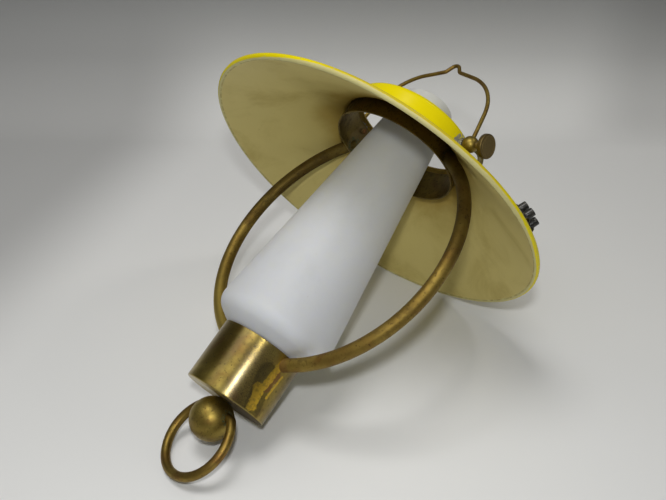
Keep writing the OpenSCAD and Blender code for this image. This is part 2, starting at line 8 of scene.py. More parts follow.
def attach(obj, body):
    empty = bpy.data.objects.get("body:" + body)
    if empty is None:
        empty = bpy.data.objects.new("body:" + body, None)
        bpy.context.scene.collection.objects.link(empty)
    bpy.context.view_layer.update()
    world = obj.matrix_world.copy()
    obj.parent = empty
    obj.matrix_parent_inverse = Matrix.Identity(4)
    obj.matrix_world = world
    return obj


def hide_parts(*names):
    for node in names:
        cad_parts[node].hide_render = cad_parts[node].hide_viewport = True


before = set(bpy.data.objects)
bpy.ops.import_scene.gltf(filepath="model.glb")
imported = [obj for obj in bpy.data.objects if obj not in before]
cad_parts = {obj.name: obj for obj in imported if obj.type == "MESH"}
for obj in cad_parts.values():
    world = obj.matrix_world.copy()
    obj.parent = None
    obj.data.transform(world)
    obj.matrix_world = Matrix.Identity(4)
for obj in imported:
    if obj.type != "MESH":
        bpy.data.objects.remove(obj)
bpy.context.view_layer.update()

mm = 0.001

# sizes that more than one piece uses, in mm, with heights above the mouth of the cup
lamp = {
    "z": -265.2252,       # the cup's mouth in the row's frame
    "hingeH": 192.0252,
    "bandR": 49.25, "bandT": 1.5, "bandLow": 171.4252, "bandTop": 196.6252,
    "ringR": 100.0, "ringH": 90.0939,       # the circle that both tubes follow
    "cupR": 30.0, "cupT": 1.4, "cupH": 44.0,
    "shadeR": 135.0, "rimH": 138.568, "rimR": 2.2, "slope": radians(29.7), "sheet": 1.0,
}
hingeZ = lamp["hingeH"] + lamp["z"]
leftRight = ((-1, "left"), (1, "right"))


# surfaces from whole arrays

def unit(v):
    # each vector divided by its length
    return v/np.linalg.norm(v, axis=-1, keepdims=True)


def arc(centre, radius, start, end, count):
    # points of a circular arc in a plane, angles in degrees
    a = np.radians(np.linspace(start, end, count))
    return np.stack([centre[0] + radius*np.cos(a), centre[1] + radius*np.sin(a)], 1)


def along(*parts):
    # joins stretches of a line, dropping points that repeat
    line = np.concatenate([np.atleast_2d(part) for part in parts])
    keep = np.r_[True, np.linalg.norm(np.diff(line, axis=0), axis=1) > 1e-5]
    return line[keep]


def evenly(line, step):
    # the same line with points every step mm
    run = np.r_[0, np.cumsum(np.linalg.norm(np.diff(line, axis=0), axis=1))]
    at = np.linspace(0, run[-1], max(2, int(round(run[-1]/step)) + 1))
    return np.stack([np.interp(at, run, line[:, k]) for k in range(line.shape[1])], 1)


def rounded(corners, radius, steps=5):
    # closed outline with each corner swapped for a small parabola that starts radius mm before it
    before, after = np.roll(corners, 1, 0) - corners, np.roll(corners, -1, 0) - corners
    reach = np.minimum(np.minimum(np.linalg.norm(before, axis=1), np.linalg.norm(after, axis=1))*0.45,
                       radius)[:, None]
    a, b = corners + unit(before)*reach, corners + unit(after)*reach
    s = np.linspace(0, 1, steps)[None, :, None]
    return ((1 - s)**2*a[:, None] + 2*s*(1 - s)*corners[:, None] + s**2*b[:, None]).reshape(-1, 2)


def sheetOutline(line, thickness):
    # closed outline of a sheet: the line moved half the thickness to each side
    d = unit(np.gradient(line, axis=0))
    side = np.stack([-d[:, 1], d[:, 0]], 1)*thickness/2
    return np.concatenate([line + side, (line - side)[::-1]])


def turned(profile, count, axis="z", origin=(0, 0, 0)):
    # revolve: each (radius, height) of the profile becomes a circle of count points about the axis
    a = np.linspace(0, 2*pi, count, endpoint=False)
    r, h = profile[:, :1], np.repeat(profile[:, 1:], count, 1)
    x, y = r*np.cos(a), r*np.sin(a)
    rows = {"z": (x, y, h), "x": (h, x, y)}[axis]
    return np.stack(rows, 2) + np.array(origin, float)


def carried(path, radius, sides, up, ends=((0, 1), (0, 0))):
    # round section along a path: circles square to it, with extra rings at both ends to close it,
    # each given as (mm past the end, share of the radius)
    d = unit(np.gradient(path, axis=0))
    size = np.broadcast_to(np.asarray(radius, float), len(path))
    cap = np.array(ends, float).reshape(-1, 2)
    path = np.concatenate([path[0] - d[0]*cap[::-1, :1], path, path[-1] + d[-1]*cap[:, :1]])
    size = np.concatenate([size[0]*cap[::-1, 1], size, size[-1]*cap[:, 1]])
    d = np.concatenate([np.repeat(d[:1], len(cap), 0), d, np.repeat(d[-1:], len(cap), 0)])
    side = unit(np.cross(d, np.array(up, float)))
    rise = np.cross(side, d)
    a = np.linspace(0, 2*pi, sides, endpoint=False)[None, :, None]
    return path[:, None] + size[:, None, None]*(np.cos(a)*side[:, None] + np.sin(a)*rise[:, None])


def inPlane(line):
    # a flat line set upright over the X axis
    return np.stack([line[:, 0], np.zeros(len(line)), line[:, 1]], 1)


def raised(points):
    # from the lamp's heights to the row's frame
    return points + np.array([0, 0, lamp["z"]])


def skin(name, grids):
    # one mesh from grids of points: rows along the shape, columns round it, the columns always closed
    # and the rows too where a grid comes as (points, True)
    places, faces, wraps, total = [], [], [], 0
    for grid in grids:
        points, closed = grid if isinstance(grid, tuple) else (grid, False)
        rows, cols = points.shape[:2]
        r, c = np.arange(rows if closed else rows - 1)[:, None], np.arange(cols)[None, :]
        nextR, nextC = (r + 1) % rows, (c + 1) % cols
        quads = np.stack([r*cols + c, r*cols + nextC, nextR*cols + nextC, nextR*cols + c], -1)
        u, v, du, dv = c/cols + 0*r, r/len(r) + 0*c, 1/cols, 1/len(r)
        corners = (u, v), (u + du, v), (u + du, v + dv), (u, v + dv)
        wraps.append(np.stack([np.stack(corner, -1) for corner in corners], 2).reshape(-1, 2))
        faces.append(quads.reshape(-1, 4) + total)
        places.append(points.reshape(-1, 3)*mm)
        total += rows*cols
    places, faces, wraps = np.concatenate(places), np.concatenate(faces), np.concatenate(wraps)
    mesh = bpy.data.meshes.new(name)
    mesh.vertices.add(len(places))
    mesh.vertices.foreach_set("co", places.ravel())
    mesh.loops.add(faces.size)
    mesh.loops.foreach_set("vertex_index", faces.ravel().astype(np.int32))
    mesh.polygons.add(len(faces))
    mesh.polygons.foreach_set("loop_start", np.arange(0, faces.size, 4, dtype=np.int32))
    mesh.uv_layers.new(name="wrap").uv.foreach_set("vector", wraps.ravel().astype(np.float32))
    mesh.update(calc_edges=True)
    return closeUp(mesh)


def closeUp(mesh, gap=2e-6, angle=38):
    # merges poles and seams, points the faces outwards and keeps only true edges sharp
    shape = bmesh.new()
    shape.from_mesh(mesh)
    bmesh.ops.remove_doubles(shape, verts=shape.verts, dist=gap)
    bmesh.ops.recalc_face_normals(shape, faces=shape.faces)
    shape.to_mesh(mesh)
    shape.free()
    mesh.shade_smooth()
    mesh.set_sharp_from_angle(angle=radians(angle))
    return mesh


def cutOut(mesh, cutters):
    # boolean difference, worked out once and kept as a mesh
    body = bpy.data.objects.new("cutBody", mesh)
    bpy.context.scene.collection.objects.link(body)
    for cutter in cutters:
        tool = bpy.data.objects.new("cutTool", cutter)
        bpy.context.scene.collection.objects.link(tool)
        step = body.modifiers.new("cut", "BOOLEAN")
        step.operation, step.solver, step.object = "DIFFERENCE", "EXACT", tool
    bpy.context.view_layer.update()
    result = bpy.data.meshes.new_from_object(body.evaluated_get(bpy.context.evaluated_depsgraph_get()))
    for step in list(body.modifiers):
        bpy.data.objects.remove(step.object)
    bpy.data.objects.remove(body)
    return closeUp(result)


def bores(line, radius, sides=48):
    # round cutters carried along a line and along its mirror image on the lamp's other side
    grid = carried(line, radius, sides, (0, 1, 0))
    return [skin("drill", [raised(grid*[side, 1, 1])]) for side in (-1, 1)]


def piece(name, shape, body, paint, stands=()):
    # one object from a skin's grids, or from a mesh that is finished
    mesh = skin(name, shape) if isinstance(shape, list) else shape
    thing = bpy.data.objects.new(name, mesh)
    bpy.context.scene.collection.objects.link(thing)
    mesh.materials.clear()
    mesh.materials.append(paint)
    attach(thing, body)
    if stands:
        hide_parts(*stands)
    return thing


def dress(node, paint):
    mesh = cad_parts[node].data
    mesh.materials.clear()
    mesh.materials.append(paint)


# shader maths

def tint(red, green, blue):
    # a screen colour, 0 to 255, as the linear colour that a shader takes
    linear = (c/255/12.92 if c <= 10 else ((c/255 + 0.055)/1.055)**2.4 for c in (red, green, blue))
    return (*linear, 1.0)


class Wire:
    # a socket whose sums and products become Math nodes
    def __init__(self, paint, socket):
        self.paint, self.socket = paint, socket

    def math(self, operation, *values):
        return self.paint.add("ShaderNodeMath", {"operation": operation}, values)

    def __add__(self, other):
        return self.math("ADD", self, other)

    def __sub__(self, other):
        return self.math("SUBTRACT", self, other)

    def __rsub__(self, other):
        return self.math("SUBTRACT", other, self)

    def __mul__(self, other):
        return self.math("MULTIPLY", self, other)

    def __truediv__(self, other):
        return self.math("DIVIDE", self, other)

    def __rtruediv__(self, other):
        return self.math("DIVIDE", other, self)

    def __abs__(self):
        return self.math("ABSOLUTE", self)

    def orMore(self, other):
        return self.math("MAXIMUM", self, other)

    __radd__ = __add__
    __rmul__ = __mul__


class Paint:
    # a material, with the patterns and masks that the finishes are mixed from
    def __init__(self, name):
        self.material = bpy.data.materials.new(name)
        self.material.use_nodes = True
        self.nodes = self.material.node_tree.nodes
        self.nodes.clear()
        self.place = self.add("ShaderNodeTexCoord", {}, {}, "Object")

    def add(self, kind, settings, values, out=0):
        # any node: its settings first, then the value or the link of each socket
        node = self.nodes.new(kind)
        for key, value in settings.items():
            setattr(node, key, value)
        pairs = values.items() if isinstance(values, dict) else enumerate(values)
        for key, value in pairs:
            if isinstance(value, Wire):
                self.material.node_tree.links.new(value.socket, node.inputs[key])
            elif value is not None:
                node.inputs[key].default_value = value
        return Wire(self, node.outputs[out]) if len(node.outputs) else node

    def vector(self, operation, values, out="Value"):
        return self.add("ShaderNodeVectorMath", {"operation": operation}, values, out)

    def grain(self, scale, detail=3.0, rough=0.55, warp=0.0, place=None):
        return self.add("ShaderNodeTexNoise", {}, {"Vector": place or self.place, "Scale": scale,
                        "Detail": detail, "Roughness": rough, "Distortion": warp}, "Fac")

    def uneven(self, width, scale=200.0):
        # a shift that wanders within width, to make an edge ragged
        return (self.grain(scale) - 0.5)*width

    def between(self, value, low, high):
        # 0 below low, 1 above high, smooth in between
        return self.add("ShaderNodeMapRange", {"interpolation_type": "SMOOTHSTEP"},
                        {"Value": value, "From Min": low, "From Max": high})

    def below(self, value, low, high):
        return 1 - self.between(value, low, high)

    def blend(self, amount, first, second):
        return self.add("ShaderNodeMix", {"data_type": "RGBA"}, {0: amount, 6: first, 7: second}, 2)

    def stretched(self, scale):
        # object coordinates pulled out along an axis, for marks that run one way
        return self.add("ShaderNodeMapping", {}, {"Vector": self.place, "Scale": scale})

    def axis(self, name):
        # one coordinate in the row's frame, in mm
        return self.add("ShaderNodeSeparateXYZ", {}, [self.place], name)/mm

    def toward(self, direction):
        # how far each place lies in a direction, in mm
        return self.vector("DOT_PRODUCT", [self.place, tuple(direction)])/mm

    def length(self, *parts):
        return self.vector("LENGTH", [self.add("ShaderNodeCombineXYZ", {}, parts)])

    def nearness(self, point, reach, ragged=0.0, scale=200.0):
        # 1 at a point of the row's frame, in mm, falling to 0 reach mm away, with a ragged edge
        away = self.vector("DISTANCE", [self.place, tuple(c*mm for c in point)])
        return self.below(away + self.uneven(ragged*mm, scale), reach*mm*0.75, reach*mm)

    def nearBoth(self, point, *edge):
        # nearness to a point and to its mirror image on the lamp's other side
        x, y, z = point
        return self.nearness((-x, y, z), *edge) + self.nearness((x, y, z), *edge)

    def stroke(self, start, end, reach, ragged=0.0, scale=200.0):
        # 1 along the line between two points in mm, falling to 0 reach mm away, with a ragged edge
        a, d = np.array(start, float)*mm, (np.array(end, float) - start)*mm
        away = self.vector("SUBTRACT", [self.place, tuple(a)], "Vector")
        run = self.add("ShaderNodeClamp", {}, [self.vector("DOT_PRODUCT", [away, tuple(d)])/float(d @ d)])
        foot = self.vector("SCALE", {0: tuple(d), "Scale": run}, "Vector")
        gap = self.vector("DISTANCE", [away, foot])
        return self.below(gap + self.uneven(ragged*mm, scale), reach*mm*0.8, reach*mm)

    def finish(self, values, height, depth):
        # the shader, with a bump of depth mm
        values["Normal"] = self.add("ShaderNodeBump", {}, {"Strength": 1.0, "Distance": depth*mm,
                                    "Height": height})
        shader = self.add("ShaderNodeBsdfPrincipled", {}, values)
        self.add("ShaderNodeOutputMaterial", {}, [shader])
        return self.material


# the camera, at the photograph's viewing angle

eye = {
    "place": (406.6, -355.6, -348.9),
    "right": (0.67113, 0.50395, 0.54370),
    "down": (0.19317, 0.58920, -0.78456),
    "forward": (-0.71573, 0.63157, 0.29808),
    "focal": 793.3, "width": 666, "height": 500,    # focal length in pixels of that frame
    "film": 36.0, "near": 0.01, "far": 20,
}
right, down, forward = (np.array(eye[key]) for key in ("right", "down", "forward"))
lens = bpy.data.cameras.new("camera")
lens.sensor_width = eye["film"]
lens.lens = eye["film"]*eye["focal"]/eye["width"]
lens.clip_start, lens.clip_end = eye["near"], eye["far"]
camera = bpy.data.objects.new("camera", lens)
turn = Matrix(np.stack([right, -down, -forward], 1).tolist())
camera.matrix_world = Matrix.Translation(Vector(eye["place"])*mm) @ turn.to_4x4()
bpy.context.scene.collection.objects.link(camera)
bpy.context.scene.camera = camera
print("camera set")


# the lead and what is on its end

leadLook = {"sheath": tint(118, 106, 62), "worn": tint(86, 74, 42), "left": tint(96, 60, 34),
            "right": tint(52, 58, 84)}


def leadPaint(name, base):
    p = Paint(name)
    darkMarks = p.between(p.grain(260, 4), 0.45, 0.75)
    fine = p.grain(2400, 2)
    return p.finish({"Base Color": p.blend(darkMarks, base, leadLook["worn"]), "IOR": 1.48,
                     "Roughness": 0.42 + darkMarks*0.2 + fine*0.08}, fine*0.6 + darkMarks*0.4, 0.05)


leadRoute = {
    "points": [(42, 1, 180.5), (38, 6, 188), (36.5, 14, 198), (37.5, 22, 206), (41, 28, 209),
               (44.5, 32, 206), (46.2, 34.1, 198), (48, 35.2, 189.3), (54, 35.6, 180.6), (65, 33.5, 174.2),
               (76, 28, 169.7), (86, 21, 165.4), (94, 15, 161.6)],
    "diameter": 4.6, "straight": 6, "steps": 8, "sides": 20,
}
core = {"diameter": 2.0, "hidden": 0.3, "apart": (1.2, 3.0), "stop": -8.3, "inBore": 4, "sides": 14}
block = {
    "azimuth": radians(6.6), "r": 121.4, "length": 14.6, "pitch": 9.6, "barrelR": 3.7, "boreR": 2.6,
    "towerR": 2.8, "towerTop": 8.1, "towerBore": 2.1, "towerFoot": 2.2, "taper": 0.25, "edge": 0.5,
    "web": (5.3, 4.8, 2.0), "webEdge": 0.4, "fan": 9.0, "gap": 0.3,
}
wireEnd = ((0, 1), (0.25, 0.97), (0.4, 0.88), (0.4, 0))      # a cut end with its edge taken off
curl = lamp["rimR"] - lamp["sheet"]/2
brimEnd = np.array([lamp["shadeR"] - lamp["rimR"] - curl*sin(lamp["slope"]),
                    lamp["rimH"] - curl*cos(lamp["slope"])])
blockH = (brimEnd[1] + (brimEnd[0] - block["r"])*tan(lamp["slope"])
          + (lamp["sheet"]/2 + block["gap"] + block["barrelR"])/cos(lamp["slope"]))


def onBlock(points):
    # the block's own place: x down the brim, z square to it
    q = np.asarray(points, float)
    c, s, a = cos(lamp["slope"]), sin(lamp["slope"]), block["azimuth"]
    x, y = block["r"] + q[..., 0]*c + q[..., 2]*s, q[..., 1]
    return np.stack([x*cos(a) - y*sin(a), x*sin(a) + y*cos(a),
                     blockH - q[..., 0]*s + q[..., 2]*c + lamp["z"]], -1)


def smoothRoute(points, steps):
    # cubic through every point, with slopes from the neighbours on each side
    p = np.asarray(points, float)
    a, b, c, d = (p[np.clip(np.arange(len(p) - 1) + k, 0, len(p) - 1)][:, None] for k in (-1, 0, 1, 2))
    t = np.linspace(0, 1, steps, endpoint=False)[None, :, None]
    line = 0.5*(2*b + (c - a)*t + (2*a - 5*b + 4*c - d)*t**2 + (3*b - a - 3*c + d)*t**3)
    return np.concatenate([line.reshape(-1, p.shape[1]), p[-1:]])


mouthAngle = np.arccos((lamp["bandR"] - lamp["bandT"])/lamp["ringR"])
mouth = raised(np.array([cos(mouthAngle), 0, sin(mouthAngle)])*lamp["ringR"] + [0, 0, lamp["ringH"]])
leadEnd = -block["length"]/2 - block["fan"]
route = np.concatenate([[mouth], raised(np.array(leadRoute["points"], float)),
                        onBlock([(leadEnd - leadRoute["straight"], 0, 0), (leadEnd, 0, 0)])])
leadPath = smoothRoute(route, leadRoute["steps"])
leadGrid = carried(leadPath, leadRoute["diameter"]/2, leadRoute["sides"], (0, 0, 1), wireEnd)
lead = piece("supplyLead", [leadGrid], "lamp_frame", leadPaint("lead sheath", leadLook["sheath"]),
             ["supply_lead"])
for side, word in leftRight:
    pole, (narrow, wide) = side*block["pitch"]/2, core["apart"]
    line = onBlock([(leadEnd - core["hidden"], side*narrow, 0), ((leadEnd + core["stop"])/2, side*wide, 0),
                    (core["stop"], pole, 0), (core["stop"] + core["inBore"], pole, 0)])
    grid = carried(smoothRoute(line, leadRoute["steps"]), core["diameter"]/2, core["sides"], (0, 0, 1),
                   ((0, 1), (0.1, 0.9), (0.1, 0)))
    name = "leadCore" + word.title()
    piece(name, [grid], "lamp_frame", leadPaint(name + " sheath", leadLook[word]),
                       ["lead_cores"] if side < 0 else ())

mouldLook = {"black": tint(34, 33, 31), "dustAndShade": tint(92, 86, 74)}
p = Paint("black moulding")
dustAndShade = p.between(p.grain(700, 4), 0.5, 0.78)
blackMoulding = p.finish({"Base Color": p.blend(dustAndShade*0.6, mouldLook["black"], mouldLook["dustAndShade"]),
                          "Roughness": 0.3 + dustAndShade*0.35}, p.grain(1800, 2), 0.04)


def tower(x, y):
    # a screw tower: its wall's outline, a little wider at the foot, turned about an upright line
    b = block
    wall = np.array([(b["towerBore"], b["towerFoot"]), (b["towerR"] + b["taper"], b["towerFoot"]),
                     (b["towerR"], b["towerTop"]), (b["towerBore"], b["towerTop"])])
    return onBlock(turned(rounded(wall, b["edge"]), 40, "z", (x, y, 0))), True


def barrel(y):
    # a barrel: its wall's outline turned about a line down the brim
    b, end = block, block["length"]/2
    wall = np.array([(b["boreR"], -end), (b["barrelR"], -end), (b["barrelR"], end), (b["boreR"], end)])
    return onBlock(turned(rounded(wall, b["edge"]), 48, "x", (0, y, 0))), True


def roundedBar(halfX, halfY, half, edge, squareness=0.25, count=64):
    # a bar with rounded plan corners: cos and sin raised to a low power, and the plan outline shrinks
    # into the edge at top and bottom
    t = np.linspace(0, 2*pi, count, endpoint=False)
    plan = np.stack([np.sign(np.cos(t))*np.abs(np.cos(t))**squareness*halfX,
                     np.sign(np.sin(t))*np.abs(np.sin(t))**squareness*halfY], 1)
    drawn = 1 - edge/halfX
    rows = [(0, -half), (drawn, -half), (1, edge - half), (1, half - edge), (drawn, half), (0, half)]
    return np.stack([np.concatenate([plan*k, np.full((count, 1), z)], 1) for k, z in rows])


pole = block["pitch"]/2
towers = [tower(x*block["length"]/4, y*pole) for x in (-1, 1) for y in (-1, 1)]
web = onBlock(roundedBar(*block["web"], block["webEdge"]))
blockPiece = piece("terminalBlock", [barrel(-pole), barrel(pole), *towers, web], "lamp_frame",
                   blackMoulding, ["terminal_block"])
mouth*mm


# metals

brassLook = {
    "gold": tint(178, 158, 80), "brown": tint(126, 107, 50), "dark": tint(54, 45, 20),
    "green": tint(66, 92, 70), "red": tint(120, 80, 42), "bare": tint(206, 168, 52),
    "crust": tint(58, 44, 22), "slate": tint(134, 116, 78),
}
brassGrain = {      # scale, detail, roughness and warp of each pattern
    "cloud": (34, 5, 0.6, 0.4), "speck": (520, 4, 0.62), "stain": (90, 5, 0.65),
    "ruddy": (58, 4, 0.6, 0.8), "scratch": (1500, 3, 0.6, 0.0),
}


def brass(name, gold, dark, rough, depth=0.03, spread=0.0, turning=None, lacquer=None, pieceMarks=None):
    # worn brass: golden where hands rub it, brown or reddish elsewhere, with dark spots and fine
    # scratches, which turning pulls out round the piece; the last argument adds the marks of one piece, some
    # of them painted light and shade
    p = Paint(name)
    cloud = p.between(p.grain(*brassGrain["cloud"]), 0.5 - gold*0.35, 0.95 - gold*0.35)
    speck = p.between(p.grain(*brassGrain["speck"]), 0.62 - dark*0.12, 0.74 - dark*0.1)
    stain = p.between(p.grain(*brassGrain["stain"]), 0.55 - dark*0.1, 0.8 - dark*0.1)
    ruddy = p.between(p.grain(*brassGrain["ruddy"]), 0.5, 0.72)
    base = p.blend(cloud, brassLook["brown"], brassLook["gold"])
    base = p.blend(ruddy*0.45, base, brassLook["red"])
    base = p.blend(stain*0.55, base, brassLook["dark"])
    base = p.blend(speck*0.65, base, brassLook["dark"])
    tarnish = stain*0.4 + speck*0.3
    if pieceMarks:
        base, tarnish = pieceMarks(p, base, tarnish)
    scratch = p.grain(*brassGrain["scratch"], p.stretched(turning) if turning else None)
    shine = 0.0
    if lacquer:     # old lacquer is left only where the piece reaches far enough towards one side
        shine = p.between(p.toward(lacquer["side"]), *lacquer["reach"])*lacquer["weight"]
    return p.finish({"Base Color": base, "Metallic": 0.96 - tarnish*0.35,
                     "Roughness": rough + tarnish*0.3 + p.uneven(0.22, 260), "Anisotropic": spread,
                     "Anisotropic Rotation": 0.25, "Coat Weight": shine, "Coat Roughness": 0.24},
                    scratch*0.5 + speck*0.5, depth)


def reddened(p, base, tarnish):
    return p.blend(0.35*p.between(p.grain(45, 3), 0.35, 0.7) + 0.1, base, brassLook["red"]), tarnish


bandMarks = {"rim": (7.0, 5, 500), "litPatch": ((-47.75, 6, -83), 17.0, 12, 120)}


def holeRims(p, base, tarnish):
    # the band pulled nearly black as painted shade of its place inside the shade, greyer by the left tube as
    # painted light, with verdigris round the hole of each tube
    green = p.nearBoth(mouth, *bandMarks["rim"])*p.between(p.grain(560, 3), 0.36, 0.58)
    # painted shade: the whole band pulled towards dark brass
    base = p.blend(0.4, base, brassLook["dark"])
    # painted light: a greyer patch where light reaches the band's inside by the left tube
    base = p.blend(p.nearness(*bandMarks["litPatch"])*0.6, base, brassLook["slate"])
    return p.blend(green*0.6, base, brassLook["green"]), tarnish + green*0.5


screwMarks = {"tip": (46.0, 47.2), "discEdge": (7.7, 8.2)}      # mm along the screw, and from its middle


def redTips(p, base, tarnish):
    # grey-olive faces, brown on the disc's edge, and reddish ends inside the band
    tip = p.below(abs(p.axis("X")), *screwMarks["tip"])
    base = p.blend(0.7, base, brassLook["slate"])
    fromHinge = p.length(0.0, p.axis("Y"), p.axis("Z") - hingeZ) + p.uneven(0.6, 400)
    base = p.blend(p.between(fromHinge, *screwMarks["discEdge"])*0.45, base, brassLook["crust"])
    return p.blend(tip*0.8, base, brassLook["red"]), tarnish + tip*0.3


tubeMarks = {"joint": ((30.2, 0, -270.7), 7.0, 5, 300), "darkZ": (-190, -140), "footSheenZ": (-262, -205),
             "footSheenX": (-20, 0)}


def darkUpwards(p, base, tarnish):
    # the tubes are brown towards the band as painted shade of the shade's bowl, golden at the foot of
    # the left one as a painted sheen, and reddish where they were soldered to the cup
    # painted shade: darker upwards, towards the band inside the shade
    high = p.between(p.axis("Z") + p.uneven(50, 60), *tubeMarks["darkZ"])
    joint = p.nearBoth(*tubeMarks["joint"])
    # painted sheen: the lower part of the left tube lightened to gold
    footSheen = p.below(p.axis("Z"), *tubeMarks["footSheenZ"])*p.below(p.axis("X"), *tubeMarks["footSheenX"])
    base = p.blend(0.2, base, brassLook["red"])
    base = p.blend(joint*0.4, base, brassLook["red"])
    base = p.blend(footSheen*0.75, base, brassLook["gold"])
    return p.blend(high*0.48, base, brassLook["dark"]), tarnish*(1 - footSheen*0.6) + high*0.15 + joint*0.5


cupMarks = {        # a mark's two ends, its reach, the raggedness of its edge and the scale of that
    "bare": [((29.8, -3.6, -273), (29.7, -4.5, -290), 3.0, 4, 330),
             ((29.1, -7.4, -293), (29.7, -4.6, -304), 4.4, 6, 260),
             ((29.7, 3.6, -278), (29.8, 2.0, -295), 1.0, 2, 400)],
    "crust": ((30, -0.6, -279), (29.9, -1.8, -289), 3.4, 7, 300),
    "specks": ((24.6, -17.2, -274), (27.4, -12.3, -303), 9, 12, 160),
    "shady": ((28.8, -8.0, -282), (29.8, -2.0, -307), 8.0, 5, 160),
    "edgeZ": (-308.9, -308.1),
    "underZ": (-309.15, -309.0), "underSide": (0.8, 0.6, 0), "underFrom": (-5.0, 3.0),
    "lacquer": {"side": (0.723, -0.691, 0), "reach": (23.0, 28.5), "weight": 0.65},
}


def cupWearAndPaintedLight(p, base, tarnish):
    # fine dark specks, bare golden patches by the right tube with a reddish crust between them, a
    # light lower edge that is a painted highlight and a dark underside on the right that is painted shade
    upper, lower, thin = (p.stroke(*mark) for mark in cupMarks["bare"])
    bare = upper.orMore(lower).orMore(thin)*(0.55 + 0.45*p.between(p.grain(500, 4), 0.4, 0.55))
    crust = p.stroke(*cupMarks["crust"])
    speck = p.between(p.grain(1300, 3, 0.7), 0.5, 0.58)*p.stroke(*cupMarks["specks"])
    # painted highlight: a light band along the cup's lower edge
    edge = p.below(p.axis("Z") + p.uneven(1.2, 300), *cupMarks["edgeZ"])
    # painted shade: the underside on the right darkened and dulled
    underShade = p.below(p.axis("Z"), *cupMarks["underZ"])
    underShade = underShade*p.between(p.toward(cupMarks["underSide"]) + p.uneven(8, 120), *cupMarks["underFrom"])
    base = p.blend(speck*0.55, base, brassLook["crust"])
    base = p.blend(p.stroke(*cupMarks["shady"])*0.55, base, brassLook["dark"])
    base = p.blend(crust*0.75, base, brassLook["red"])
    base = p.blend(bare*0.8, base, brassLook["bare"])
    base = p.blend(edge*0.5, base, brassLook["gold"])
    base = p.blend(underShade*0.85, base, brassLook["crust"])
    return base, tarnish*(1 - bare*0.7)*(1 - underShade) + speck*0.4 + crust*0.5 + underShade*2.0


agedBrass = brass("aged brass", 0.6, 0.3, 0.46)
# little gold and many dark stains: painted shade for the band inside the shade
bandBrass = brass("band brass", 0.1, 0.7, 0.42, pieceMarks=holeRims)
tubeBrass = brass("tube brass", 0.34, 0.45, 0.56, pieceMarks=darkUpwards)
bailBrass = brass("bail brass", 0.35, 0.5, 0.5, pieceMarks=reddened)
screwBrass = brass("turned screw brass", 0.1, 0.6, 0.5, pieceMarks=redTips)
brightBrass = brass("bright brass", 0.9, 0.05, 0.25)
cupBrass = brass("cup brass", 0.5, 0.34, 0.36, depth=0.04, spread=0.8, turning=(0.03, 0.03, 1),
                 lacquer=cupMarks["lacquer"], pieceMarks=cupWearAndPaintedLight)

steelLook = {"plated": tint(158, 158, 154), "rust": tint(92, 80, 66)}
p = Paint("dull plated steel")
rust = p.between(p.grain(420, 4), 0.58, 0.8)
platedSteel = p.finish({"Base Color": p.blend(rust, steelLook["plated"], steelLook["rust"]),
                        "Metallic": 0.9 - rust*0.4, "Roughness": 0.38 + rust*0.3}, p.grain(1400, 3), 0.02)
print("metals mixed")


# the bail: a bent wire with a kink for the hook

bail = {"wire": 3.0, "rise": 74.7, "lean": 9.8, "bend": 45.0, "top": 17.0, "kink": 56.0, "kinkR": 4.0,
        "kinkRun": 4.6, "ballR": 6.0, "ballX": 59.5, "ballHalf": 5.6, "boreR": 2.05, "root": 3.4,
        "step": 0.8, "wobble": 0.1, "clear": 0.25}


def bailHalf():
    # the right half of the wire's line over the hinge: an arc at the crest and one at the kink's foot
    # with a straight run between them, the top's straight slope, the shoulder's arc and the leg
    lean, top, kink = (radians(bail[key]) for key in ("lean", "top", "kink"))
    crest = np.array([0, bail["rise"] - bail["kinkR"]])
    flankA = crest + bail["kinkR"]*np.array([sin(kink), cos(kink)])
    flankB = flankA + bail["kinkRun"]*np.array([cos(kink), -sin(kink)])
    foot = flankB + bail["kinkR"]*np.array([sin(kink), cos(kink)])
    topA = foot - bail["kinkR"]*np.array([sin(top), cos(top)])
    shoulder = np.linalg.solve(np.array([[cos(lean), sin(lean)], [sin(top), cos(top)]]),
                               np.array([bail["ballX"]*cos(lean) - bail["bend"],
                                         topA[0]*sin(top) + topA[1]*cos(top) - bail["bend"]]))
    legEnd = np.array([bail["ballX"] - bail["root"]*sin(lean), bail["root"]*cos(lean)])
    return along(arc(crest, bail["kinkR"], 90, 90 - bail["kink"], 9),
                 arc(foot, bail["kinkR"], 270 - bail["kink"], 270 - bail["top"], 7),
                 arc(shoulder, bail["bend"], 90 - bail["top"], bail["lean"], 40), legEnd)


half = evenly(bailHalf(), bail["step"])
wirePath = inPlane(np.concatenate([(half*[-1, 1])[::-1], half[1:]]))
wirePath[:, 2] += hingeZ
# slight unevenness from end to end, s = -1 to 1: two waves sideways that die out at the balls, a bump
# that holds the kink clear of the brim, and a wire that swells and thins
s = np.linspace(-1, 1, len(wirePath))
wirePath[:, 1] += bail["wobble"]*(1 - s**8)*(np.sin(9.3*s + 0.7) + 0.6*np.sin(23*s))
wirePath[:, 1] += bail["clear"]*np.exp(-(s/0.25)**2)
wireR = bail["wire"]/2*(1 + 0.012*np.sin(41*s) - 0.02*np.exp(-((np.abs(s) - 0.06)/0.02)**2))
piece("bailWire", [carried(wirePath, wireR, 24, (0, 1, 0), wireEnd)], "hanger", bailBrass,
      ["bail"])


def bailBall(side, word):
    # a drilled ball with flat faces: an arc and the bore's straight line turned about the hinge
    b = bail
    flat = np.degrees(np.arccos(b["ballHalf"]/b["ballR"]))
    ball = arc((0, 0), b["ballR"], flat, 180 - flat, 40)[:, ::-1]
    outline = np.concatenate([ball, [(b["boreR"], -b["ballHalf"]), (b["boreR"], b["ballHalf"])]])
    rows = turned(outline, 64, "x", (side*b["ballX"], 0, hingeZ))
    piece("bailBall" + word.title(), [(rows, True)], "hanger", agedBrass,
          ["bail_ball_" + word])


for side, word in leftRight:
    bailBall(side, word)
print("bail bent")


# thumb screws and lock nuts

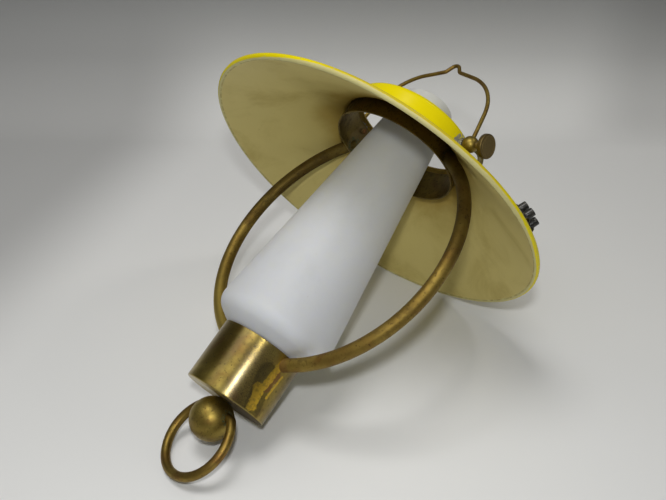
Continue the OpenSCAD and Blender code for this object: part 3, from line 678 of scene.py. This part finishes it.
screw = {"shankR": 2.0, "endX": 45.15, "neckX": 65.4, "headX": 71.4, "headR": 8.75, "headT": 3.6,
         "neckR": 2.8, "flare": ((0, 0.6), (0.5, 0.1), (1.2, 0)), "edge": 0.8,
         "grooveR": 6.9, "grooveHalf": 0.5, "grooveD": 0.2,
         "pitch": 0.7, "thread": 0.22, "threadStop": 0.2, "tipTaper": 0.35}
nut = {"x": 50.4, "t": 3.2, "af": 7.0, "boreR": 2.05, "coneR": 0.97, "coneRise": 1.7}


def thumbScrew(side, word):
    # head: an outline with a widening neck, rounded disc edges and a ring cut into the face, turned
    # about the hinge; shank: radius less a triangular wave of x/pitch - angle/turn, which fades at
    # the tip and before the ball
    b = screw
    face = b["headX"] + b["headT"]
    wide, deep = b["grooveHalf"], b["grooveD"]
    groove = [(b["grooveR"] + apart, face - cut)
              for apart, cut in ((wide, 0), (wide/2, deep), (-wide/2, deep), (-wide, 0))]
    head = along([(0, b["neckX"]), (b["neckR"], b["neckX"])],
                 [(b["neckR"] + apart, b["headX"] - below) for apart, below in b["flare"]],
                 arc((b["headR"] - b["edge"], b["headX"] + b["edge"]), b["edge"], -90, 0, 6),
                 arc((b["headR"] - b["edge"], face - b["edge"]), b["edge"], 0, 90, 6),
                 groove, [(0, face)])
    headRows = turned(head, 72, "x", (0, 0, hingeZ))
    x = np.linspace(b["endX"], b["neckX"] + 0.5, 300)[:, None]
    a = np.linspace(0, 2*pi, 48, endpoint=False)
    fromEnd, toBall = x - b["endX"], bail["ballX"] - bail["ballR"] - b["threadStop"] - x
    ridge = np.abs(((x/b["pitch"] - a/(2*pi)) % 1)*2 - 1)
    threaded = np.clip(toBall/0.8, 0, 1)*np.clip(fromEnd/0.6, 0.4, 1)
    r = b["shankR"] - b["thread"]*ridge*threaded - b["tipTaper"]*np.clip(1 - fromEnd/0.5, 0, 1)
    shank = np.stack([x + 0*a, r*np.cos(a), r*np.sin(a) + hingeZ], 2)
    caps = [np.zeros_like(shank[0]) + [at, 0, hingeZ] for at in (x[0, 0], x[-1, 0])]
    shank = np.concatenate([caps[:1], shank, caps[1:]])
    key = "thumb_screw_" + word
    piece("thumbScrew" + word.title(), [headRows*[side, 1, 1], shank*[side, 1, 1]], key, screwBrass,
          [key])


def lockNut(side, word):
    # hexagon, half its width over the cosine of the angle from a flat's middle, whose corners are cut
    # by a cone at both faces
    a = np.linspace(0, 2*pi, 72, endpoint=False)[None]
    flat = nut["af"]/2/np.cos((a % (pi/3)) - pi/6)
    near = np.array([0, 0, 0.25, 0.6])
    x = np.r_[near, nut["t"] - near[::-1]][:, None]
    r = np.minimum(flat, nut["af"]/2*nut["coneR"] + np.minimum(x, nut["t"] - x)*nut["coneRise"])
    r[[0, -1]] = nut["boreR"]
    rows = np.stack([nut["x"] + x + 0*a, r*np.cos(a), r*np.sin(a) + hingeZ], 2)
    piece("lockNut" + word.title(), [(rows*[side, 1, 1], True)], "lamp_frame", platedSteel,
          ["lock_nut_" + word])


for side, word in leftRight:
    thumbScrew(side, word)
    lockNut(side, word)
print("screws turned")


# the shade: one spun sheet, lip, collar, brim and rolled rim

shade = {"cornerR": 3.2, "lip": 0.6, "filletR": 6.0, "collarR": 49.85, "curlTurn": 290, "around": 288,
         "step": 0.9, "dent": 0.12, "dentFrom": 62, "dentFull": 132}
# scorch: the dark brown of the heat stain and of the painted shadow by the collar, also used for the rim's
# dark line
shadeLook = {"yellow": tint(228, 211, 6), "deep": tint(208, 188, 5), "cream": tint(206, 191, 122),
             "stain": tint(154, 132, 56), "scorch": tint(142, 110, 10), "edge": tint(200, 194, 136),
             "steel": tint(170, 170, 162)}
shadeMarks = {
    "side": (0.755, -0.656, 0), "creamFrom": (70.0, 125.0), "beadShadeFrom": (112.0, 130.0),
    "beadShadeR": (131.5, 133.0), "heatR": (50.0, 96.0), "scorchR": (52.0, 76.0), "chipR": (131.5, 133.5),
    "screw": ((51, 0, hingeZ), 8.5, 9, 420),
    "cream": (-45, 8), "edgeEnd": -112, "darkMarks": (-84, -116),      # degrees round the bead
}
slopeDegrees = np.degrees(lamp["slope"])
beadX = lamp["shadeR"] - lamp["rimR"]
collarTop = lamp["bandTop"] + shade["cornerR"]
cornerX = shade["collarR"] - shade["cornerR"]
filletX = shade["collarR"] + shade["filletR"]
filletEnd = filletX - shade["filletR"]*sin(lamp["slope"])
filletH = (brimEnd[1] + (brimEnd[0] - filletEnd)*tan(lamp["slope"])
           + shade["filletR"]*cos(lamp["slope"]))
sheetLine = along([(cornerX - shade["lip"], collarTop)],
                  arc((cornerX, collarTop - shade["cornerR"]), shade["cornerR"], 90, 0, 14),
                  arc((filletX, filletH), shade["filletR"], 180, 270 - slopeDegrees, 16),
                  arc((beadX, lamp["rimH"]), curl, -90 - slopeDegrees,
                      shade["curlTurn"] - 90 - slopeDegrees, 30))
sheetLine = evenly(sheetLine, shade["step"])
brimRows = raised(turned(sheetOutline(sheetLine, lamp["sheet"]), shade["around"]))
# slight dents: two waves round the shade, of 3 and 7 to a turn, that grow towards the rim
angle = np.arctan2(brimRows[..., 1], brimRows[..., 0])
radius = np.hypot(brimRows[..., 0], brimRows[..., 1])
out = np.clip((radius - shade["dentFrom"])/(shade["dentFull"] - shade["dentFrom"]), 0, 1)
brimRows[..., 2] += shade["dent"]*out*(np.sin(3*angle + 0.6) + 0.7*np.sin(7*angle + 2.0))
beadAngle = np.degrees(np.arctan2(sheetLine[::-1, 1] - lamp["rimH"], sheetLine[::-1, 0] - beadX))


def beadRun(degrees):
    # how far round the outline the bead's outer skin turns below an angle
    return 0.5 + np.argmax(beadAngle < degrees)/(2*len(sheetLine))


def shadePaint():
    # yellow outside and cream inside, browned towards the collar by the bulb's heat and by painted shade,
    # with a pale edge and a thin dark line inside the rolled rim, and bare metal where the paint has chipped
    p, marks = Paint("shade paint"), shadeMarks
    fromAxis = p.length(p.axis("X"), p.axis("Y"), 0.0)
    wrap = p.add("ShaderNodeTexCoord", {}, {}, "UV")
    run = p.add("ShaderNodeSeparateXYZ", {}, [wrap], "Y")
    ragged = p.uneven(0.003, 260)
    # cream up to the bead's widest line on one side of the lamp, and less far on the other
    low, high = (beadRun(turn) for turn in marks["cream"])
    further = p.between(p.toward(marks["side"]) + p.uneven(30, 30), *marks["creamFrom"])
    inner = p.between(run + ragged + further*(low - high), low - 0.001, low + 0.001)
    edgeEnd, dirtStart, dirtEnd = (beadRun(turn) for turn in (marks["edgeEnd"], *marks["darkMarks"]))
    paleEdge = inner*p.below(run + ragged, edgeEnd, edgeEnd + 0.003)
    # a thin dark line inside the rolled rim
    darkMarks = inner*p.between(run, dirtStart, dirtStart + 0.002)*p.below(run, dirtEnd, dirtEnd + 0.002)

    spot = p.between(p.grain(480, 4, 0.6), 0.66, 0.74)
    yellow = p.blend(p.between(p.grain(16, 5, 0.55, 0.3), 0.35, 0.75)*0.5, shadeLook["yellow"],
                     shadeLook["deep"])
    yellow = p.blend(spot*0.25, yellow, shadeLook["deep"])
    # painted shade: the bead's outer yellow dulled on one side of the lamp
    beadShade = p.between(p.toward(marks["side"]), *marks["beadShadeFrom"])*p.between(fromAxis, *marks["beadShadeR"])
    yellow = p.blend(beadShade*0.5, yellow, shadeLook["stain"])

    # the cream browned towards the collar: partly heat stain, partly painted shade
    heatAndShade = p.below(fromAxis, *marks["heatR"])
    ageAndShade = p.between(p.grain(22, 5, 0.6, 0.6), 0.42, 0.8)*0.5 + heatAndShade*0.35 + spot*0.35
    cream = p.blend(ageAndShade, shadeLook["cream"], shadeLook["stain"])
    # partly heat stain, partly painted shadow of the band by the collar
    scorchAndShadow = p.below(fromAxis + p.uneven(16, 40), *marks["scorchR"])
    cream = p.blend(scorchAndShadow*0.7, cream, shadeLook["scorch"])

    base = p.blend(inner, yellow, cream)
    base = p.blend(paleEdge*0.8, base, shadeLook["edge"])
    base = p.blend(darkMarks*p.between(p.grain(210, 4), 0.35, 0.6)*0.6, base, shadeLook["scorch"])
    nearScrew = p.nearBoth(*marks["screw"])
    rimChip = p.between(p.grain(330, 4, 0.6), 0.66, 0.7)*p.between(fromAxis, *marks["chipR"])*0.8
    chip = p.between(p.grain(430, 4, 0.6) + nearScrew*0.22, 0.66, 0.69)*nearScrew
    metal = chip.orMore(rimChip)
    base = p.blend(metal, base, shadeLook["steel"])
    return p.finish({"Base Color": base, "Roughness": 0.22 + inner*0.22 + ageAndShade*0.1 + metal*0.25,
                     "Metallic": metal*0.6, "Coat Weight": (1 - inner)*(1 - metal)*0.04,
                     "Specular IOR Level": 0.14, "Coat Roughness": 0.12},
                    p.grain(130, 3)*0.6 + (1 - metal)*0.6 + p.grain(900, 2)*0.15, 0.09)


piece("shadeSheet", [(brimRows, True)], "lamp_frame", shadePaint(), ["shade"])
print("shade spun")


# the brass frame: band, two bent tubes and cup

def ontoWall(rows, d, wallR):
    # slides points along d until they lie on a cylinder about the lamp's axis: the nearer root of
    # a t^2 + b t + c = 0
    a = (d[..., :2]**2).sum(-1)
    b = 2*(rows[..., :2]*d[..., :2]).sum(-1)
    c = (rows[..., :2]**2).sum(-1) - wallR**2
    root = np.sqrt(np.maximum(b*b - 4*a*c, 0))
    near = np.where(np.abs(-b + root) < np.abs(-b - root), -b + root, -b - root)/(2*a)
    return rows + near[..., None]*d


tube = {"r": 4.75, "bore": 3.5, "sides": 40, "points": 150, "mitre": 9.0, "sunk": 0.5}
solder = {"size": 0.3, "proud": 0.02, "hollow": 0.1, "sunkOut": 0.6, "sunkIn": 0.3, "points": 7}
lowR, highR = lamp["cupR"] - tube["sunk"], lamp["bandR"] - tube["sunk"]
lowAngle, highAngle = -np.arccos(lowR/lamp["ringR"]), np.arccos(highR/lamp["ringR"])
sweepAngle = np.linspace(lowAngle, highAngle, tube["points"])
centreLine = np.stack([lamp["ringR"]*np.cos(sweepAngle), 0*sweepAngle,
                       lamp["ringH"] + lamp["ringR"]*np.sin(sweepAngle)], 1)
heading = unit(np.gradient(centreLine, axis=0))


def tubeWall(radius):
    # the section carried round the circle, its ends slid onto the cup's and the band's walls and the
    # slide fading out over the mitre's length
    rows = carried(centreLine, radius, tube["sides"], (0, 1, 0), ())
    d = np.repeat(heading[:, None], tube["sides"], 1)
    low = ontoWall(rows[:1] + 0*rows, d[:1] + 0*d, lowR) - rows[:1]
    high = ontoWall(rows[-1:] + 0*rows, d[-1:] + 0*d, highR) - rows[-1:]
    reach = tube["mitre"]/lamp["ringR"]
    keepLow = np.clip(1 - (sweepAngle - lowAngle)/reach, 0, 1)[:, None, None]
    keepHigh = np.clip(1 - (highAngle - sweepAngle)/reach, 0, 1)[:, None, None]
    return rows + low*keepLow + high*keepHigh


def solderRing(end, wallR):
    # small hollow fillet between tube and wall, a parabola from one to the other, closed in the metal
    d = heading[end]
    ring = carried(centreLine, tube["r"], tube["sides"], (0, 1, 0), ())[end]
    joint = ontoWall(ring, np.repeat(d[None], len(ring), 0), wallR)
    away = -d if end == -1 else d
    spread = unit(joint - centreLine[end] - ((joint - centreLine[end]) @ d)[:, None]*d)
    wide = joint + spread*solder["size"]
    wide[:, :2] *= (wallR + solder["proud"])/np.linalg.norm(wide[:, :2], axis=1, keepdims=True)
    up = joint + away*solder["size"] + spread*solder["proud"]
    t = np.linspace(0, 1, solder["points"])[:, None, None]
    hollow = (1 - t)**2*up + 2*t*(1 - t)*(joint + (spread + away)*solder["hollow"]) + t**2*wide
    return np.concatenate([hollow, [joint - spread*solder["sunkOut"] - away*solder["sunkIn"]]]), True


def bentTube(side, word):
    # the outer wall and the bore joined at their ends, with a fillet of solder at each
    outer, bore = tubeWall(tube["r"]), tubeWall(tube["bore"])
    grids = [(np.concatenate([outer, bore[::-1]]), True), solderRing(0, lamp["cupR"]),
             solderRing(-1, lamp["bandR"])]
    grids = [(raised(points*[side, 1, 1]), closed) for points, closed in grids]
    piece("bentTube" + word.title(), grids, "lamp_frame", tubeBrass, ["tube_" + word])


for side, word in leftRight:
    bentTube(side, word)

band = {"edge": 0.35, "around": 256, "drillFrom": -5, "drillTo": 6}
inR, outR = lamp["bandR"] - lamp["bandT"], lamp["bandR"]
bandWall = rounded(np.array([(inR, lamp["bandLow"]), (outR, lamp["bandLow"]), (outR, lamp["bandTop"]),
                             (inR, lamp["bandTop"])]), band["edge"], 4)
bandMesh = skin("bandHoop", [(raised(turned(bandWall, band["around"])), True)])
hole = centreLine[-1] + np.linspace(band["drillFrom"], band["drillTo"], 5)[:, None]*heading[-1]
piece("bandHoop", cutOut(bandMesh, bores(hole, tube["bore"])), "lamp_frame", bandBrass,
      ["band"])

cup = {"corner": 0.9, "hole": 3.05, "lip": 0.35, "floorR": 1, "around": 192}
floorH, innerR = lamp["cupT"] - lamp["cupH"], lamp["cupR"] - lamp["cupT"]
cupWall = np.concatenate([
    [(cup["hole"], floorH), (cup["hole"], -lamp["cupH"])],
    arc((lamp["cupR"] - cup["corner"], cup["corner"] - lamp["cupH"]), cup["corner"], -90, 0, 7),
    [(lamp["cupR"], -0.3)], arc((lamp["cupR"] - cup["lip"], -cup["lip"]), cup["lip"], 0, 90, 4),
    arc((innerR + cup["lip"], -cup["lip"]), cup["lip"], 90, 180, 4),
    arc((innerR - cup["floorR"], floorH + cup["floorR"]), cup["floorR"], 0, -90, 5)])
piece("cupShell", [(raised(turned(cupWall, cup["around"])), True)], "lamp_frame", cupBrass,
      ["cup"])
print("frame soldered")


# the opal glass

glass = {"r": 43.0, "topR": 20.4, "topH": 222.5, "t": 2.6, "neckR": 24.7, "neckDepth": 12.0,
         "flare": radians(33), "shoulder": 10.5, "fillet": 5.0, "gap": 0.3, "step": 1.6, "around": 160,
         # the melted ends: shares of half the wall, from skin to skin, and how far they bulge in mm
         "topAcross": (1, 0.94, 0.7, 0.3, -0.3, -0.7, -0.94, -1),
         "topBulge": (0, 0.048, 0.12, 0.144, 0.144, 0.12, 0.048, 0),
         "footAcross": (-1, -0.9, -0.5, 0, 0.5, 0.9, 1),
         "footBulge": (0, 0.21, 0.525, 0.63, 0.525, 0.21, 0)}
glassLook = {"milk": tint(230, 231, 224), "smudge": tint(218, 219, 210), "dustAndShade": tint(170, 168, 156),
             "mark": tint(196, 188, 172), "dustAndShadeZ": (-200.0, -60.0)}


def glassOutline():
    # the wall's middle line, neck, fillet, flare, shoulder's arc and straight taper, made a sheet
    # whose two ends bulge
    g, flare = glass, glass["flare"]
    neckR = g["neckR"] - g["t"]/2
    seat = (g["gap"] + g["t"]/2)/cos(flare) - (lamp["cupR"] - lamp["cupT"])*tan(flare)
    filletAt = (neckR + g["fillet"], (neckR + g["fillet"])*tan(flare) + seat - g["fillet"]/cos(flare))
    shoulderX = g["r"] - g["t"]/2 - g["shoulder"]
    shoulderAt = (shoulderX, shoulderX*tan(flare) + seat + g["shoulder"]/cos(flare))
    taper = np.degrees(atan((g["r"] - g["topR"])/(g["topH"] - shoulderAt[1])))
    line = along([(neckR, -g["neckDepth"])], arc(filletAt, g["fillet"], 180, 90 + np.degrees(flare), 10),
                 arc(shoulderAt, g["shoulder"], np.degrees(flare) - 90, taper, 24),
                 [(g["topR"] - g["t"]/2, g["topH"])])
    line = evenly(line, g["step"])
    n, outline = len(line), sheetOutline(line, g["t"])
    top = line[-1] + (outline[n - 1] - line[-1])*np.array(g["topAcross"])[:, None]
    foot = line[0] + (outline[0] - line[0])*np.array(g["footAcross"])[:, None]
    top[:, 1] += g["topBulge"]
    foot[:, 1] -= g["footBulge"]
    return np.concatenate([outline[:n - 1], top, outline[n + 1:2*n - 1], foot[:-1]])


opalRows = turned(glassOutline(), glass["around"])
# blown glass: the radius swells by about a thousandth in waves of 2 and 5 to a turn that drift upwards
around = np.arctan2(opalRows[..., 1], opalRows[..., 0])
swell = 1 + 0.0012*np.sin(2*around + opalRows[..., 2]*0.02) + 0.0008*np.sin(5*around - opalRows[..., 2]*0.05)
opalRows[..., :2] *= swell[..., None]
p = Paint("opal glass")
smudge = p.between(p.grain(28, 5, 0.6, 0.5), 0.5, 0.8)
mark = p.between(p.grain(300, 4, 0.65), 0.68, 0.76)
base = p.blend(smudge*0.5, glassLook["milk"], glassLook["smudge"])
# painted shade: the glass darker towards the top, inside the shade's bowl, with some dust
dustAndShade = p.between(p.axis("Z") + p.uneven(40, 30), *glassLook["dustAndShadeZ"])
base = p.blend(dustAndShade*0.5, base, glassLook["dustAndShade"])
opalPaint = p.finish({"Base Color": p.blend(mark*0.3, base, glassLook["mark"]),
                      "Roughness": 0.52 + smudge*0.1 + mark*0.1, "Specular IOR Level": 0.35, "IOR": 1.5,
                      "Subsurface Weight": 0.9, "Subsurface Radius": (0.014, 0.013, 0.009),
                      "Subsurface Scale": 1.0}, p.grain(45, 2), 0.05)
piece("opalGlass", [(raised(opalRows), True)], "glass", opalPaint, ["glass"])
print("glass blown")


# pull ball and ring

pull = {"ballR": 15.0, "seat": 14.2, "z": -58.5, "pinRise": 5.4, "holeR": 3.4, "holeFrom": 5.5,
        "holeTo": 20.0, "ringR": 26.5, "wire": 3.2, "bend": 4.0, "open": 48.0, "pinIn": 6.0, "step": 0.8}
flat = np.degrees(np.arcsin(pull["seat"]/pull["ballR"]))
ballLine = along([(0, -pull["ballR"])], arc((0, 0), pull["ballR"], -90, flat, 72), [(0, pull["seat"])])
ballMesh = skin("pullBall", [raised(turned(ballLine, 128, "z", (0, 0, pull["z"])))])
pinZ = pull["z"] + pull["pinRise"]
bore = inPlane(np.array([(pull["holeFrom"], pinZ), (9.0, pinZ), (pull["holeTo"], pinZ)]))


def greenHoles(p, base, tarnish):
    # verdigris round the two pin holes
    green = p.nearBoth((pull["seat"], 0, pinZ + lamp["z"]), 6.4, 5, 500)
    green = green*p.between(p.grain(600, 3), 0.38, 0.6)
    return p.blend(green*0.7, base, brassLook["green"]), tarnish + green*0.6


ballBrass = brass("pull ball brass", 0.55, 0.5, 0.46, depth=0.07, pieceMarks=greenHoles)
piece("pullBall", cutOut(ballMesh, bores(bore, pull["holeR"])), "lamp_frame", ballBrass,
      ["pull_ball"])

opened = radians(pull["open"])
ringH = pinZ - pull["bend"] - (pull["ringR"] - pull["bend"])*sin(opened)
pinX = (pull["ringR"] - pull["bend"])*cos(opened)
ringLine = along([(-pull["pinIn"], pinZ)],
                 arc((-pinX, pinZ - pull["bend"]), pull["bend"], 90, 180 - pull["open"], 12),
                 arc((0, ringH), pull["ringR"], 180 - pull["open"], 360 + pull["open"], 150),
                 arc((pinX, pinZ - pull["bend"]), pull["bend"], pull["open"], 90, 12),
                 [(pull["pinIn"], pinZ)])
ringPath = raised(inPlane(evenly(ringLine, pull["step"])))
s = np.linspace(-1, 1, len(ringPath))
ringGrid = carried(ringPath, pull["wire"]*(1 - 0.008*np.cos(17*s)), 32, (0, 1, 0), wireEnd)
ringBrass = brass("pull ring brass", 0.3, 0.42, 0.46, pieceMarks=reddened)
piece("pullRing", [ringGrid], "pull_ring", ringBrass, ["pull_ring"])
print("pull ring hung")


# the lampholder inside the cup

holderLook = {"glaze": tint(240, 238, 228), "crazed": tint(222, 212, 188)}
p = Paint("glazed porcelain")
crazing = p.between(p.grain(60, 4), 0.5, 0.8)
porcelain = p.finish({"Base Color": p.blend(crazing*0.4, holderLook["glaze"], holderLook["crazed"]),
                      "Roughness": 0.18 + crazing*0.1}, p.grain(200, 2), 0.03)
# the sleeve's inside: its radius grows by a cosine of height/pitch - angle/turn, flat at both ends
sleeve = {"r": 13.2, "wall": 0.75, "low": -14.6, "length": 24.0, "pitch": 3.6, "depth": 0.35}
h = np.linspace(0, sleeve["length"], 140)[:, None]
a = np.linspace(0, 2*pi, 72, endpoint=False)
wave = sleeve["depth"]*0.5*(1 + np.cos(2*pi*(h/sleeve["pitch"] - a/(2*pi))))
wave = wave*np.clip(np.minimum(h, sleeve["length"] - h)/2, 0, 1)
inside, outside = (np.stack([r*np.cos(a), r*np.sin(a), h + sleeve["low"] + 0*a], 2)
                   for r in (sleeve["r"] + wave, sleeve["r"] + sleeve["wall"] + 0*wave))
sleeveRows = raised(np.concatenate([inside, outside[::-1]]))
piece("threadedSleeve", [(sleeveRows, True)], "lamp_frame", brightBrass,
      ["lampholder_sleeve"])
dress("lampholder_body", porcelain)
for node in ("lampholder_contact", "holder_terminals", "stud", "stud_nut", "terminal_inserts"):
    dress(node, brightBrass)
for node in ("lampholder_bracket", "bracket_screws", "terminal_screws"):
    dress(node, platedSteel)
for node in ("lead_in_tube", "holder_cores"):
    dress(node, leadPaint(node + " sheath", leadLook["sheath"]))
print("lampholder fitted")


# floor, backdrop and light

stage = {"pitch": radians(34.5), "sweep": 90, "lean": radians(12), "near": -1800, "high": 2600, "half": 2600,
         "crease": 115,      # the photograph's row of pixels where the floor turns up
         "floor": tint(230, 231, 232), "wall": tint(138, 139, 140), "dim": tint(84, 84, 84)}
level = -cos(stage["pitch"])*down - sin(stage["pitch"])*forward     # the floor's own upward direction
ahead = unit(forward - (forward @ level)*level)
# the shade's rolled rim rests on the floor
floorAt = -beadX*hypot(level[0], level[1]) + (lamp["rimH"] + lamp["z"])*level[2] - lamp["rimR"]
eyeH = np.array(eye["place"]) @ level - floorAt
feet = np.array(eye["place"]) - eyeH*level
creaseD = eyeH/tan(stage["pitch"] - atan((eye["height"]/2 - stage["crease"])/eye["focal"]))
turnUp = pi/2 - stage["lean"]
bend = stage["sweep"]*tan(turnUp/2)
t = np.linspace(0, turnUp, 24)
# side view: flat floor, an arc where it turns up, and a wall that leans back
sideLine = along([(stage["near"], 0), (creaseD - bend, 0)],
                 np.stack([creaseD - bend + stage["sweep"]*np.sin(t), stage["sweep"]*(1 - np.cos(t))], 1))
sideLine = np.concatenate([sideLine, [sideLine[-1] + stage["high"]*np.array([cos(turnUp), sin(turnUp)])]])
ends = np.array([-stage["half"], stage["half"]])
rows = feet + sideLine[:, None, :1]*ahead + sideLine[:, None, 1:]*level + ends[None, :, None]*right
backdrop = bpy.data.meshes.new("backdrop")
k = np.arange(len(sideLine) - 1)*2
backdrop.from_pydata((rows.reshape(-1, 3)*mm).tolist(), [], np.stack([k, k + 1, k + 3, k + 2], 1).tolist())
backdrop.shade_smooth()
if Vector(backdrop.polygons[0].normal).dot(Vector(level)) < 0:
    backdrop.flip_normals()

# painted shade: the floor turns into a darker wall for light that falls off upwards, dimmer in its left
# corner and a little dimmer on the right
p = Paint("pale paper")
height = p.toward(level) - floorAt
corner = p.toward(0.3*ahead - right)
paper = p.blend(p.between(height, -10.0, 180.0), stage["floor"], stage["wall"])
leftDim = p.between(corner, 290.0, 430.0)*(0.42 - 0.38*p.between(height, 20.0, 160.0))
paper = p.blend(leftDim, paper, stage["dim"])
rightDim = p.below(corner, -190.0, -90.0)*p.between(p.toward(ahead), 200.0, 280.0)*0.25
paper = p.blend(rightDim, paper, stage["dim"])
front = p.add("ShaderNodeBsdfDiffuse", {}, {"Color": paper, "Roughness": 0.0})
back = p.add("ShaderNodeBsdfTransparent", {}, {})
behind = p.add("ShaderNodeNewGeometry", {}, {}, "Backfacing")
p.add("ShaderNodeOutputMaterial", {}, [p.add("ShaderNodeMixShader", {}, [behind, front, back])])
backdrop.materials.append(p.material)
floor = bpy.data.objects.new("backdrop", backdrop)
bpy.context.scene.collection.objects.link(floor)

# places in mm to the right, ahead and above the middle of the lamp
lights = {
    "key": {"at": (4, -460, 434), "size": 42, "power": 1.5, "colour": (0.98, 0.99, 0.98)},
    "overhead": {"at": (-140, -60, 1000), "size": 420, "power": 3.7, "colour": (1.0, 0.98, 0.95)},
    "left": {"at": (-620, -20, 1000), "size": 460, "power": 1.05, "colour": (1.0, 0.98, 0.95)},
    "side": {"at": (690, 280, 1000), "size": 260, "power": 1.1, "colour": (1.0, 0.95, 0.84)},
}
sky = {"colour": tint(200, 199, 192), "strength": 0.25}
middle = np.array([0, 0, -190.0])
for name, look in lights.items():
    bulb = bpy.data.lights.new(name, "AREA")
    bulb.shape, bulb.size = "DISK", look["size"]*mm
    bulb.energy, bulb.color = look["power"], look["colour"]
    x, y, z = look["at"]
    at = middle + x*right + y*ahead + z*level
    holder = bpy.data.objects.new(name, bulb)
    aim = Vector(middle - at).to_track_quat("-Z", "Y")
    holder.matrix_world = Matrix.Translation(Vector(at)*mm) @ aim.to_matrix().to_4x4()
    bpy.context.scene.collection.objects.link(holder)

world = bpy.data.worlds.new("room")
world.use_nodes = True
bpy.context.scene.world = world
room = world.node_tree.nodes["Background"]
room.inputs["Color"].default_value = sky["colour"]
room.inputs["Strength"].default_value = sky["strength"]
bpy.context.scene.view_settings.view_transform = "Standard"
print("stage lit")
